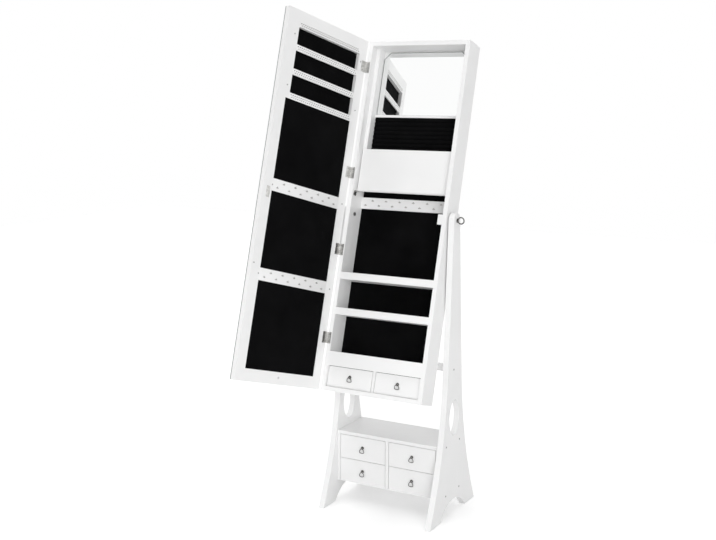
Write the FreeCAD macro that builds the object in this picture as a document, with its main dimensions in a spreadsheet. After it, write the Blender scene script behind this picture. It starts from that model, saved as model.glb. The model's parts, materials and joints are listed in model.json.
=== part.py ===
"""A free-standing jewelry cabinet with a mirrored door, hung between two legs.

The cabinet leans back on two eye bolts. Its door stands open and carries the
linings, the earring bars and the hooks. Lengths are millimetres and angles are
degrees. Three frames are used. The stand's frame has its origin on the floor
under the tilt axis, x to the right and z up. The cabinet's frame sits on the
tilt axis and leans with it: x right, y to the back, z up along the sides. The
door's frame sits on the hinge line: x runs from the hinge to the free edge,
and y points out of the lined inner face.
"""
import FreeCAD, Part
import math
import os
import re
import Sketcher
from FreeCAD import Rotation, Vector

doc = FreeCAD.newDocument("JewelryMirrorCabinet")
sheet = doc.addObject("Spreadsheet::Sheet", "Sizes")

# --------------------------------------------------------------------------
# Driving sizes
# --------------------------------------------------------------------------
DRIVING = {
    # stand
    "pivot_height": 1005,
    "lean_angle": 16.5,
    "leg_gap": 4.5,
    "leg_thickness": 20,
    "leg_top_radius": 24,
    "leg_taper_angle": 3.4,
    "flare_height": 480,
    "foot_half_width": 180,
    "arch_half_width": 98,
    "arch_rise": 52,
    "hand_hole_height": 340,
    "hand_hole_half_width": 39,
    "hand_hole_half_length": 62,
    "hand_hole_end_radius": 26,
    "stretcher_underside": 499,
    "stretcher_width": 22,
    "stretcher_depth": 20,
    "stretcher_front_reach": 15,
    # chest of four drawers between the legs
    "chest_underside": 73,
    "chest_height": 182,
    "chest_front_reach": 80,
    "chest_back_reach": 95,
    "chest_board": 12,
    "chest_side_board": 9,
    "chest_divider_board": 12,
    "chest_back_board": 4,
    "chest_shelf_board": 6,
    "chest_box_height": 58,
    "chest_box_depth": 146,
    # drawers and their ring pulls
    "drawer_gap": 1.5,
    "drawer_front_board": 12,
    "drawer_wall": 8,
    "drawer_floor": 4,
    "drawer_side_play": 1,
    "drawer_lift": 0.3,
    "pull_post_radius": 2.4,
    "pull_reach": 6.5,
    "pull_rose_radius": 5.5,
    "pull_rose_thickness": 1.2,
    "pull_ring_radius": 9,
    "pull_wire_radius": 1,
    "pull_hole_play": 0.4,
    # cabinet shell
    "cabinet_width": 377,
    "cabinet_rise": 598,
    "cabinet_drop": 608,
    "cabinet_front_reach": 32,
    "cabinet_back_reach": 52,
    "board": 15,
    "back_panel": 3,
    "lining": 1,
    # mirror insert behind the upper part
    "insert_setback": 32,
    "cheek": 13.5,
    "insert_panel": 3,
    "insert_panel_depth": 36,
    "inner_glass": 3,
    "inner_glass_margin": 2,
    "inner_glass_corner": 23,
    "ring_pad_height": 150,
    "ring_pad_thickness": 7,
    "ring_roll_count": 10,
    "ring_roll_slit": 0.8,
    "ring_roll_crown": 4.5,
    "trim_height": 8,
    "ledge_underside": 185,
    "ledge_board": 13,
    "ledge_setback": 4,
    "compartment_underside": 88,
    "compartment_board": 12,
    "compartment_fascia": 43,
    # rails, shelves and the small drawers
    "hook_rail_underside": 27,
    "hook_rail_width": 39,
    "hook_rail_thickness": 8,
    "shelf_board": 9,
    "shelf_lip_height": 24,
    "shelf_lip_thickness": 10,
    "upper_shelf_underside": -229,
    "lower_shelf_underside": -350,
    "small_drawer_opening": 70,
    "fascia_height": 48,
    "fascia_thickness": 12,
    "small_divider": 10,
    "small_front_setback": 11,
    "small_front_board": 11,
    "small_box_height": 56,
    "small_box_depth": 48,
    "catch_width": 17,
    "catch_height": 33,
    "catch_depth": 14,
    "catch_underside": -21,
    "catch_setback": 1.5,
    "catch_slot_depth": 1.5,
    "catch_slot_margin": 4,
    "catch_slot_end": 8,
    # folding tray
    "tray_thickness": 13,
    "tray_reach": 141,
    "tray_side_gap": 7.5,
    "tray_back_gap": 0.5,
    "tray_axis_height": 84,
    "tray_pin_radius": 2.5,
    "tray_pin_depth": 6,
    "pin_play": 0.05,
    "tray_stop_width": 9,
    "tray_stop_depth": 18,
    "tray_stop_height": 16,
    "tray_stop_metal": 1.5,
    "tray_stop_play": 0.3,
    # hinges
    "open_angle": 104.5,
    "hinge_offset": 2.5,
    "hinge_standoff": 1.5,
    "hinge_length": 38,
    "hinge_cabinet_leaf": 12,
    "hinge_door_leaf": 18,
    "hinge_pin_radius": 1.2,
    "hinge_play": 0.05,
    "hinge_end_play": 0.15,
    "hinge_upper": 507,
    "hinge_middle_upper": 136,
    "hinge_middle_lower": -130,
    "hinge_lower": -432,
    # door
    "door_frame_board": 14,
    "door_back_board": 3,
    "door_glass": 3,
    "hinge_stile": 34.5,
    "free_stile": 38.5,
    "earring_stile": 15,
    "door_top_rail": 53,
    "door_bottom_rail": 40,
    "earring_bar_underside": 307,
    "earring_bar_height": 20,
    "earring_bar_pitch": 80,
    "earring_bar_thickness": 6,
    "door_rail_height": 40,
    "door_rail_upper_underside": 2,
    "door_rail_lower_underside": -287,
    "door_lining_setback": 2,
    "strike_width": 14,
    "strike_height": 36,
    "strike_thickness": 1,
    # hooks
    "hook_wire": 1.8,
    "hook_reach": 7,
    "hook_bend": 1.6,
    "hook_rise": 5,
    "hook_pitch": 26,
    "hook_row_low": 12,
    "hook_row_high": 28,
    # eye bolts on the tilt axis
    "bolt_radius": 4,
    "bolt_play": 0.05,
    "bolt_collar_radius": 7,
    "bolt_collar_thickness": 3,
    "bolt_eye_radius": 10.5,
    "bolt_eye_wire_radius": 2,
    "bolt_tail": 2.5,
}

# --------------------------------------------------------------------------
# Places worked out from the driving sizes
# --------------------------------------------------------------------------
PLACES = {
    "half_width": "cabinet_width / 2",
    "side_inner": "half_width - board",
    "leg_inner": "half_width + leg_gap",
    "leg_outer": "leg_inner + leg_thickness",
    "front_plane": "-cabinet_front_reach",
    "back_plane": "cabinet_back_reach",
    "back_panel_front": "back_plane - back_panel",
    "lining_front": "back_panel_front - lining",
    "ceiling": "cabinet_rise - board",
    "floor_level": "-cabinet_drop + board",
    # leg outline
    "waist_half": "leg_top_radius * cos(leg_taper_angle)"
                  " + (shoulder_height - flare_height) * tan(leg_taper_angle)",
    "shoulder_half": "leg_top_radius * cos(leg_taper_angle)",
    "shoulder_height": "pivot_height + leg_top_radius * sin(leg_taper_angle)",
    "flare_radius": "((foot_half_width - waist_half)^2 + flare_height^2)"
                    " / (2 * (cos(leg_taper_angle) * (foot_half_width - waist_half)"
                    " - sin(leg_taper_angle) * flare_height))",
    "arch_radius": "(arch_half_width^2 + arch_rise^2) / (2 * arch_rise)",
    "hole_side_radius": "(hand_hole_half_width^2 + hole_end_centre^2 - hand_hole_end_radius^2)"
                        " / (2 * (hand_hole_half_width - hand_hole_end_radius))",
    "hole_end_centre": "hand_hole_half_length - hand_hole_end_radius",
    "hole_turn_y": "(hole_side_radius - hand_hole_half_width) * hand_hole_end_radius"
                   " / (hole_side_radius - hand_hole_end_radius)",
    "hole_turn_z": "hole_end_centre * hole_side_radius"
                   " / (hole_side_radius - hand_hole_end_radius)",
    # chest
    "chest_top": "chest_underside + chest_height",
    "chest_ceiling": "chest_top - chest_board",
    "chest_floor": "chest_underside + chest_board",
    "chest_bay_inner": "chest_divider_board / 2",
    "chest_bay_outer": "leg_inner - chest_side_board",
    "chest_carcass_front": "-chest_front_reach + drawer_front_board",
    "chest_back_front": "chest_back_reach - chest_back_board",
    "chest_row": "(chest_ceiling - chest_underside) / 2",
    "chest_shelf_top": "chest_underside + chest_row - drawer_gap / 2",
    # mirror insert
    "insert_front": "front_plane + insert_setback",
    "panel_front": "insert_front + insert_panel_depth",
    "cheek_inner": "side_inner - cheek",
    "ledge_top": "ledge_underside + ledge_board",
    "ring_pad_top": "ledge_top + ring_pad_height",
    "trim_top": "ring_pad_top + trim_height",
    "compartment_floor_top": "compartment_underside + compartment_board",
    "compartment_fascia_top": "compartment_underside + compartment_fascia",
    # small drawers
    "small_ceiling": "floor_level + small_drawer_opening + fascia_height",
    "fascia_underside": "floor_level + small_drawer_opening",
    "small_front": "front_plane + small_front_setback",
    "small_front_back": "small_front + small_front_board",
    # tray
    "tray_half": "side_inner - tray_side_gap",
    "tray_back_face": "insert_front - tray_back_gap",
    "tray_axis_y": "tray_back_face - tray_thickness / 2",
    "tray_stop_top": "tray_axis_height - tray_thickness / 2 - tray_stop_play",
    # hinge line
    "hinge_x": "-half_width - hinge_offset",
    "hinge_y": "front_plane - hinge_standoff",
    "knuckle_radius": "hinge_offset",
    "leaf_thickness": "hinge_standoff - hinge_play",
    # door
    "door_near": "hinge_offset",
    "door_far": "hinge_offset + cabinet_width",
    "door_face": "-hinge_standoff",
    "door_frame_back": "door_face - door_frame_board",
    "door_glass_front": "door_frame_back - door_back_board",
    "door_outer_face": "door_glass_front - door_glass",
    "window_near": "door_near + hinge_stile",
    "window_far": "door_far - free_stile",
    "window_far_upper": "window_far - earring_stile",
    "window_top": "cabinet_rise - door_top_rail",
    "window_bottom": "-cabinet_drop + door_bottom_rail",
}

CABINET_FRAME = (
    "create(<<placement>>; create(<<vector>>; 0; 0; pivot_height);"
    " create(<<rotation>>; create(<<vector>>; 1; 0; 0); -lean_angle))"
)
DOOR_FRAME = CABINET_FRAME + (
    " * create(<<placement>>; create(<<vector>>; hinge_x; hinge_y; 0);"
    " create(<<rotation>>; create(<<vector>>; 0; 0; 1); -open_angle))"
)
STAND_FRAME = None

for row, (alias, size) in enumerate(DRIVING.items(), start=1):
    sheet.set(f"A{row}", str(size))
    sheet.setAlias(f"A{row}", alias)
doc.recompute()

WORD = re.compile(r"[a-z_]+")


def expand(text):
    """Return an expression with each named place and size written out."""

    def replace(match):
        word = match.group(0)
        if word in PLACES:
            return "(" + expand(PLACES[word]) + ")"
        if word in DRIVING:
            return "Sizes." + word
        return word

    return WORD.sub(replace, str(text))


def number(text):
    """Return the value of an expression."""
    return float(sheet.evalExpression(expand(text)))


def bind(feature, name, text):
    """Tie a property of a feature to an expression."""
    feature.setExpression(name, expand(text))


# --------------------------------------------------------------------------
# Modelling helpers
# --------------------------------------------------------------------------
pieces = []

PLANES = {"x": "YZ_Plane", "y": "XZ_Plane", "z": "XY_Plane"}
WIRE_SIDES = 8


def place(feature, frame):
    """Put a finished piece in its frame."""
    if frame is not STAND_FRAME:
        bind(feature, "Placement", frame)


def new_body(label, frame):
    """Start a piece as a body of its own."""
    body = doc.addObject("PartDesign::Body", label)
    body.Label = label
    place(body, frame)
    pieces.append(body)
    return body


def origin_plane(body, axis):
    """Return the body's own origin plane that is square to an axis."""
    planes = [item for item in body.Origin.OriginFeatures if item.Role == PLANES[axis]]
    return planes[0]


def add_block(body, x, y, z, kind="PartDesign::AdditiveBox"):
    """Add a box given by its span along each axis."""
    box = body.newObject(kind, body.Label + "_block")
    box.AttachmentSupport = [(origin_plane(body, "z"), "")]
    box.MapMode = "FlatFace"
    for axis, side, span in (("x", "Length", x), ("y", "Width", y), ("z", "Height", z)):
        bind(box, "AttachmentOffset.Base." + axis, span[0])
        bind(box, side, f"({span[1]}) - ({span[0]})")
    return box


def cut_block(body, x, y, z):
    """Cut a box given by its span along each axis."""
    return add_block(body, x, y, z, kind="PartDesign::SubtractiveBox")


def board(label, frame, x, y, z):
    """Make a plain rectangular board."""
    body = new_body(label, frame)
    add_block(body, x, y, z)
    return body


def new_sketch(body, axis, offset):
    """Start a sketch square to an axis, set off along the plane's normal."""
    sketch = body.newObject("Sketcher::SketchObject", body.Label + "_sketch")
    sketch.AttachmentSupport = [(origin_plane(body, axis), "")]
    sketch.MapMode = "FlatFace"
    bind(sketch, "AttachmentOffset.Base.z", offset)
    return sketch


def hold(sketch, kind, where, text):
    """Add a constraint whose value is tied to an expression."""
    value = number(text)
    index = sketch.addConstraint(Sketcher.Constraint(kind, *where, value))
    bind(sketch, f"Constraints[{index}]", text)


def arc_between(start, end, radius, side):
    """Return the short arc from one point to another, bulging to one side."""
    chord = end - start
    middle = (start + end) / 2
    across = Vector(chord.y, -chord.x, 0).normalize() * side
    half = chord.Length / 2
    drop = math.sqrt(max(radius * radius - half * half, 0))
    crown = middle + across * (radius - drop)
    return Part.Arc(start, crown, end)


class Outline:
    """A closed outline of straight runs and arcs through named corners."""

    def __init__(self, first, second):
        self.corners = [(first, second)]
        self.runs = []

    def line(self, first, second):
        """Go straight to the next corner."""
        self.corners.append((first, second))
        self.runs.append(None)
        return self

    def arc(self, first, second, radius, side):
        """Go to the next corner by an arc that bulges right (1) or left (-1)."""
        self.corners.append((first, second))
        self.runs.append((radius, side))
        return self

    def draw(self, sketch):
        """Draw the outline and tie each corner and radius to its expression."""
        points = [Vector(number(first), number(second), 0) for first, second in self.corners]
        count = len(self.runs)
        for index, run in enumerate(self.runs):
            start = points[index]
            end = points[index + 1]
            if run is None:
                sketch.addGeometry(Part.LineSegment(start, end), False)
            else:
                sketch.addGeometry(arc_between(start, end, number(run[0]), run[1]), False)
        starts = []
        ends = []
        for index in range(count):
            first_point = sketch.getPoint(index, 1)
            forward = (first_point - points[index]).Length < (first_point - points[index + 1]).Length
            starts.append(1 if forward else 2)
            ends.append(2 if forward else 1)
        for index, run in enumerate(self.runs):
            follower = (index + 1) % count
            joint = Sketcher.Constraint("Coincident", index, ends[index], follower, starts[follower])
            sketch.addConstraint(joint)
            hold(sketch, "DistanceX", (-1, 1, index, starts[index]), self.corners[index][0])
            hold(sketch, "DistanceY", (-1, 1, index, starts[index]), self.corners[index][1])
            if run is not None:
                hold(sketch, "Radius", (index,), run[0])


class Circle:
    """A circle about a named centre."""

    def __init__(self, first, second, radius):
        self.first = first
        self.second = second
        self.radius = radius

    def draw(self, sketch):
        """Draw the circle and tie its centre and radius to expressions."""
        centre = Vector(number(self.first), number(self.second), 0)
        sketch.addGeometry(Part.Circle(centre, Vector(0, 0, 1), number(self.radius)), False)
        hold(sketch, "DistanceX", (-1, 1, 0, 3), self.first)
        hold(sketch, "DistanceY", (-1, 1, 0, 3), self.second)
        hold(sketch, "Radius", (0,), self.radius)


def rectangle(first, second):
    """Return the outline of a rectangle given by two spans."""
    outline = Outline(first[0], second[0])
    outline.line(first[1], second[0])
    outline.line(first[1], second[1])
    outline.line(first[0], second[1])
    return outline.line(first[0], second[0])


def extrude(body, axis, outline, span):
    """Pad an outline over a span along an axis."""
    offset = f"-({span[1]})" if axis == "y" else span[0]
    sketch = new_sketch(body, axis, offset)
    outline.draw(sketch)
    pad = body.newObject("PartDesign::Pad", body.Label + "_pad")
    pad.Profile = sketch
    bind(pad, "Length", f"({span[1]}) - ({span[0]})")
    return pad


def cut(body, axis, outline, span):
    """Pocket an outline over a span along an axis."""
    offset = f"-({span[0]})" if axis == "y" else span[1]
    sketch = new_sketch(body, axis, offset)
    outline.draw(sketch)
    pocket = body.newObject("PartDesign::Pocket", body.Label + "_pocket")
    pocket.Profile = sketch
    bind(pocket, "Length", f"({span[1]}) - ({span[0]})")
    return pocket


def primitive(kind, name, base, turn=None, **properties):
    """Make a Part primitive with its base point and sizes tied to expressions."""
    item = doc.addObject(kind, name)
    if turn is not None:
        item.Placement.Rotation = turn
    for axis, text in zip("xyz", base):
        bind(item, "Placement.Base." + axis, text)
    for name_of_size, text in properties.items():
        bind(item, name_of_size, text)
    return item


def fuse(name, items):
    """Join primitives into one solid."""
    joined = doc.addObject("Part::MultiFuse", name)
    joined.Shapes = items
    joined.Refine = True
    return joined


def wire_ring(name, radius, wire_radius):
    """Make a ring of eight-sided wire about the Y axis."""
    section = primitive("Part::RegularPolygon", name + "_section", (radius, "0", "0"),
                        Circumradius=wire_radius)
    section.Polygon = WIRE_SIDES
    ring = doc.addObject("Part::Revolution", name)
    ring.Source = section
    ring.Axis = Vector(0, 1, 0)
    ring.Solid = True
    return ring


def group(label, frame, items):
    """Keep several like pieces together under one label."""
    compound = doc.addObject("Part::Compound", label)
    compound.Label = label
    compound.Links = items
    place(compound, frame)
    pieces.append(compound)
    return compound




# --------------------------------------------------------------------------
# Stand
# --------------------------------------------------------------------------
def leg_outline():
    """Return the side view of a leg: round top, taper, flare and foot arch."""
    outline = Outline("-shoulder_half", "shoulder_height")
    outline.arc("0", "pivot_height + leg_top_radius", "leg_top_radius", -1)
    outline.arc("shoulder_half", "shoulder_height", "leg_top_radius", -1)
    outline.line("waist_half", "flare_height")
    outline.arc("foot_half_width", "0", "flare_radius", 1)
    outline.line("arch_half_width", "0")
    outline.arc("0", "arch_rise", "arch_radius", 1)
    outline.arc("-arch_half_width", "0", "arch_radius", 1)
    outline.line("-foot_half_width", "0")
    outline.arc("-waist_half", "flare_height", "flare_radius", 1)
    return outline.line("-shoulder_half", "shoulder_height")


def hand_hole_outline():
    """Return the oval hand hole as four tangent arcs."""
    low = "hand_hole_height - hole_turn_z"
    high = "hand_hole_height + hole_turn_z"
    outline = Outline("hole_turn_y", low)
    outline.arc("hole_turn_y", high, "hole_side_radius", 1)
    outline.arc("-hole_turn_y", high, "hand_hole_end_radius", 1)
    outline.arc("-hole_turn_y", low, "hole_side_radius", 1)
    return outline.arc("hole_turn_y", low, "hand_hole_end_radius", 1)


def make_leg(label, span):
    """Make one side leg with its bolt hole and hand hole."""
    body = new_body(label, STAND_FRAME)
    extrude(body, "x", leg_outline(), span)
    cut(body, "x", hand_hole_outline(), span)
    cut(body, "x", Circle("0", "pivot_height", "bolt_radius + bolt_play"), span)


def make_stand():
    """Make the two legs, the stretcher and the carcass of the chest."""
    make_leg("side_leg_left", ("-leg_outer", "-leg_inner"))
    make_leg("side_leg_right", ("leg_inner", "leg_outer"))
    between_legs = ("-leg_inner", "leg_inner")
    board("stretcher_rail", STAND_FRAME, between_legs,
          ("-stretcher_front_reach", "-stretcher_front_reach + stretcher_depth"),
          ("stretcher_underside", "stretcher_underside + stretcher_width"))
    board("chest_top", STAND_FRAME, between_legs,
          ("-chest_front_reach", "chest_back_reach"), ("chest_ceiling", "chest_top"))
    side_depth = ("-chest_front_reach", "chest_back_reach")
    side_rise = ("chest_underside", "chest_ceiling")
    sides = []
    for name, low in (("left", "-leg_inner"), ("right", "chest_bay_outer")):
        sides.append(primitive("Part::Box", "chest_side_" + name,
                               (low, side_depth[0], side_rise[0]),
                               Length="chest_side_board", Width=f"{side_depth[1]} - ({side_depth[0]})",
                               Height=f"{side_rise[1]} - {side_rise[0]}"))
    group("chest_sides", STAND_FRAME, sides)
    bays = ("-chest_bay_outer", "chest_bay_outer")
    board("chest_bottom", STAND_FRAME, bays,
          ("chest_carcass_front", "chest_back_front"), ("chest_underside", "chest_floor"))
    board("chest_back", STAND_FRAME, bays, ("chest_back_front", "chest_back_reach"), side_rise)
    divider = new_body("chest_divider", STAND_FRAME)
    divider_width = ("-chest_bay_inner", "chest_bay_inner")
    add_block(divider, divider_width, ("chest_carcass_front", "chest_back_front"),
              ("chest_floor", "chest_ceiling"))
    add_block(divider, divider_width, ("-chest_front_reach", "chest_carcass_front"),
              ("chest_underside", "chest_ceiling"))
    shelf_thickness = "chest_shelf_board"
    shelves = []
    for name, low in (("left", "-chest_bay_outer"), ("right", "chest_bay_inner")):
        shelves.append(primitive("Part::Box", "chest_shelf_" + name,
                                 (low, "chest_carcass_front", f"chest_shelf_top - {shelf_thickness}"),
                                 Length="chest_bay_outer - chest_bay_inner",
                                 Width="chest_back_front - chest_carcass_front",
                                 Height=shelf_thickness))
    group("chest_shelves", STAND_FRAME, shelves)


# --------------------------------------------------------------------------
# Drawers with ring pulls
# --------------------------------------------------------------------------
def add_pull(front, centre_x, face, centre_z):
    """Put the rose and the eyed post of a ring pull on a drawer front."""
    span = (f"({face}) - pull_rose_thickness", face)
    extrude(front, "y", Circle(centre_x, centre_z, "pull_rose_radius"), span)
    tip = f"({face}) - pull_reach - pull_post_radius"
    extrude(front, "y", Circle(centre_x, centre_z, "pull_post_radius"), (tip, face))
    bore = Circle(f"({face}) - pull_reach", centre_z, "pull_wire_radius + pull_hole_play")
    cut(front, "x", bore, (f"({centre_x}) - 2 * pull_post_radius", f"({centre_x}) + 2 * pull_post_radius"))


def make_drawer(name, frame, x, front_y, front_z, box):
    """Make one drawer: front board with pull, open box, and hanging ring."""
    front = new_body(name + "_front", frame)
    add_block(front, (f"{x[0]} + drawer_gap", f"{x[1]} - drawer_gap"), front_y, front_z)
    centre_x = f"({x[0]} + {x[1]}) / 2"
    centre_z = f"({front_z[0]} + {front_z[1]}) / 2 + pull_ring_radius / 2"
    add_pull(front, centre_x, front_y[0], centre_z)

    tub = new_body(name + "_box", frame)
    inner_x = (f"{x[0]} + drawer_side_play", f"{x[1]} - drawer_side_play")
    depth = (front_y[1], f"{front_y[1]} + {box['depth']}")
    rise = (box["seat"], f"{box['seat']} + {box['height']}")
    add_block(tub, inner_x, depth, rise)
    cut_block(tub, (f"{inner_x[0]} + drawer_wall", f"{inner_x[1]} - drawer_wall"),
              (f"{depth[0]} + drawer_wall", f"{depth[1]} - drawer_wall"),
              (f"{rise[0]} + drawer_floor", f"{rise[1]} + drawer_wall"))

    ring = wire_ring(name + "_ring", "pull_ring_radius", "pull_wire_radius")
    ring.Label = name + "_ring"
    hang = "0" if frame is STAND_FRAME else "lean_angle"
    hanging = (
        f"create(<<placement>>; create(<<vector>>; {centre_x}; {front_y[0]} - pull_reach; {centre_z});"
        f" create(<<rotation>>; create(<<vector>>; 1; 0; 0); {hang}))"
        " * create(<<placement>>; create(<<vector>>; 0; 0; -pull_ring_radius);"
        " create(<<rotation>>; create(<<vector>>; 0; 0; 1); 0))"
    )
    bind(ring, "Placement", hanging if frame is STAND_FRAME else frame + " * " + hanging)
    pieces.append(ring)


def make_chest_drawers():
    """Make the two rows of two drawers in the chest."""
    columns = {
        "left": ("-chest_bay_outer", "-chest_bay_inner"),
        "right": ("chest_bay_inner", "chest_bay_outer"),
    }
    rows = {
        "lower": ("chest_underside", "chest_underside + chest_row - drawer_gap", "chest_floor"),
        "upper": ("chest_underside + chest_row", "chest_ceiling - drawer_gap", "chest_shelf_top"),
    }
    front_y = ("-chest_front_reach", "chest_carcass_front")
    for row, (low, high, seat) in rows.items():
        for column, x in columns.items():
            box = {"seat": f"({seat} + drawer_lift)", "height": "chest_box_height",
                   "depth": "chest_box_depth"}
            make_drawer(f"chest_drawer_{row}_{column}", STAND_FRAME, x, front_y, (low, high), box)


def make_small_drawers():
    """Make the two small drawers at the foot of the cabinet."""
    columns = {
        "left": ("-side_inner", "-small_divider / 2"),
        "right": ("small_divider / 2", "side_inner"),
    }
    front_z = ("floor_level + drawer_gap / 2", "fascia_underside - drawer_gap")
    for column, x in columns.items():
        box = {"seat": "(floor_level + drawer_lift)", "height": "small_box_height",
               "depth": "small_box_depth"}
        make_drawer(f"small_drawer_{column}", CABINET_FRAME, x,
                    ("small_front", "small_front_back"), front_z, box)


# --------------------------------------------------------------------------
# Cabinet
# --------------------------------------------------------------------------
def make_cabinet_side(label, x, pin_x):
    """Make a side board with its bolt hole and the blind hole for the tray pin."""
    body = new_body(label, CABINET_FRAME)
    add_block(body, x, ("front_plane", "back_plane"), ("-cabinet_drop", "cabinet_rise"))
    cut(body, "x", Circle("0", "0", "bolt_radius + bolt_play"), x)
    cut(body, "x", Circle("tray_axis_y", "tray_axis_height", "tray_pin_radius + pin_play"), pin_x)


def make_shell():
    """Make the sides, top, bottom, back and black lining of the cabinet."""
    pin_reach = "side_inner + tray_pin_depth + pin_play"
    make_cabinet_side("cabinet_side_left", ("-half_width", "-side_inner"),
                      (f"-({pin_reach})", "-side_inner"))
    make_cabinet_side("cabinet_side_right", ("side_inner", "half_width"),
                      ("side_inner", pin_reach))
    inside = ("-side_inner", "side_inner")
    depth = ("front_plane", "back_plane")
    board("cabinet_top", CABINET_FRAME, inside, depth, ("ceiling", "cabinet_rise"))
    board("cabinet_bottom", CABINET_FRAME, inside, depth, ("-cabinet_drop", "floor_level"))
    board("cabinet_back", CABINET_FRAME, inside, ("back_panel_front", "back_plane"),
          ("floor_level", "ceiling"))
    board("back_lining", CABINET_FRAME, inside, ("lining_front", "back_panel_front"),
          ("floor_level", "ceiling"))


def lipped_shelf(label, underside, thickness, lip, front, lip_edge):
    """Make a shelf whose front lip stands up from, or hangs below, its board."""
    low, high = lip_edge
    board_top = f"{underside} + {thickness}"
    outline = Outline(front, low)
    outline.line(f"{front} + {lip}", low)
    if low != underside:
        outline.line(f"{front} + {lip}", underside)
    outline.line("lining_front", underside)
    outline.line("lining_front", board_top)
    if high != board_top:
        outline.line(f"{front} + {lip}", board_top)
        outline.line(f"{front} + {lip}", high)
    outline.line(front, high)
    outline.line(front, low)
    body = new_body(label, CABINET_FRAME)
    extrude(body, "x", outline, ("-side_inner", "side_inner"))


def make_shelves():
    """Make the lipped shelves, the compartment floor and the drawer ceiling."""
    for label, underside in (("shelf_upper", "upper_shelf_underside"),
                             ("shelf_lower", "lower_shelf_underside")):
        lipped_shelf(label, underside, "shelf_board", "shelf_lip_thickness", "front_plane",
                     (underside, f"{underside} + shelf_lip_height"))
    lipped_shelf("compartment_floor", "compartment_underside", "compartment_board",
                 "compartment_board", "insert_front",
                 ("compartment_underside", "compartment_fascia_top"))
    ceiling_underside = "small_ceiling - shelf_board"
    lipped_shelf("drawer_ceiling", ceiling_underside, "shelf_board", "fascia_thickness",
                 "front_plane", ("fascia_underside", f"{ceiling_underside} + shelf_board"))
    board("drawer_divider", CABINET_FRAME, ("-small_divider / 2", "small_divider / 2"),
          ("small_front", "lining_front"), ("floor_level", "fascia_underside"))


def cheek_outline():
    """Return a cheek's side view, notched over the compartment floor."""
    outline = Outline("insert_front", "compartment_fascia_top")
    outline.line("insert_front + compartment_board", "compartment_fascia_top")
    outline.line("insert_front + compartment_board", "compartment_floor_top")
    outline.line("lining_front", "compartment_floor_top")
    outline.line("lining_front", "ceiling")
    outline.line("insert_front", "ceiling")
    return outline.line("insert_front", "compartment_fascia_top")


def inner_glass_outline():
    """Return the inner mirror's outline with its two cut upper corners."""
    half = "cheek_inner - inner_glass_margin"
    low = "trim_top"
    high = "ceiling - 2 * inner_glass_margin"
    outline = Outline(f"-({half})", low)
    outline.line(half, low)
    outline.line(half, f"{high} - inner_glass_corner")
    outline.line(f"{half} - inner_glass_corner", high)
    outline.line(f"-({half}) + inner_glass_corner", high)
    outline.line(f"-({half})", f"{high} - inner_glass_corner")
    return outline.line(f"-({half})", low)


def ring_pad_outline():
    """Return the ring pad's side view: a row of foam rolls with slits between."""
    front = "panel_front - ring_pad_thickness"
    root = f"{front} + ring_roll_crown"
    pitch = "ring_pad_height / ring_roll_count"
    half = f"({pitch} - ring_roll_slit) / 2"
    radius = f"({half} * {half} + ring_roll_crown * ring_roll_crown) / (2 * ring_roll_crown)"
    outline = Outline("panel_front", "ledge_top")
    outline.line("panel_front", "ring_pad_top")
    for roll in range(int(number("ring_roll_count")), 0, -1):
        top = f"ledge_top + {roll} * {pitch} - ring_roll_slit / 2"
        outline.line(root, top)
        outline.arc(root, f"{top} - 2 * {half}", radius, 1)
    outline.line(root, "ledge_top")
    return outline.line("panel_front", "ledge_top")


def make_insert():
    """Make the cheeks, panel, inner mirror, ring pad, trim and ledge."""
    cheek_left = new_body("cheek_left", CABINET_FRAME)
    extrude(cheek_left, "x", cheek_outline(), ("-side_inner", "-cheek_inner"))
    cheek_right = new_body("cheek_right", CABINET_FRAME)
    extrude(cheek_right, "x", cheek_outline(), ("cheek_inner", "side_inner"))
    inside = ("-cheek_inner", "cheek_inner")
    panel = new_body("insert_panel", CABINET_FRAME)
    add_block(panel, inside, ("panel_front", "panel_front + insert_panel"), ("ledge_top", "ceiling"))
    add_block(panel, inside, ("panel_front - ring_pad_thickness", "panel_front"),
              ("ring_pad_top", "trim_top"))
    glass = new_body("inner_mirror", CABINET_FRAME)
    extrude(glass, "y", inner_glass_outline(), ("panel_front - inner_glass", "panel_front"))
    pad = new_body("ring_pad", CABINET_FRAME)
    extrude(pad, "x", ring_pad_outline(), inside)
    board("ledge", CABINET_FRAME, inside, ("insert_front + ledge_setback", "lining_front"),
          ("ledge_underside", "ledge_top"))


def make_hook(root, outward):
    """Make one bent hook: a shank, an eased corner and a tip that turns up."""
    wire = number("hook_wire")
    reach = number("hook_reach")
    bend = number("hook_bend")
    rise = number("hook_rise")
    profile = (
        (0, 0), (reach - bend, 0), (reach, bend), (reach, rise),
        (reach - wire, rise), (reach - wire, bend + wire / 2),
        (reach - wire - bend / 2, wire), (0, wire),
    )
    up = Vector(0, 0, 1)
    across = outward.cross(up)
    start = root - up * (wire / 2) - across * (wire / 2)
    corners = [start + outward * out + up * height for out, height in profile]
    face = Part.Face(Part.makePolygon(corners + corners[:1]))
    return face.extrude(across * wire)


def make_hooks(label, frame, roots, outward):
    """Keep the hooks of one rail, or of two like rails, under one label."""
    feature = doc.addObject("Part::Feature", label)
    feature.Label = label
    feature.Shape = Part.makeCompound([make_hook(root, outward) for root in roots])
    place(feature, frame)
    pieces.append(feature)


def staggered_roots(low, high, face, underside):
    """Return the roots of two staggered rows of hooks along a rail."""
    pitch = number("hook_pitch")
    first = number(low)
    length = number(high) - first
    count = int(length / pitch)
    start = first + (length - (count - 1) * pitch) / 2
    rows = (number("hook_row_low"), number("hook_row_high"))
    roots = []
    for index in range(count):
        level = number(underside) + rows[index % len(rows)]
        roots.append(Vector(start + index * pitch, number(face), level))
    return roots


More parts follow.
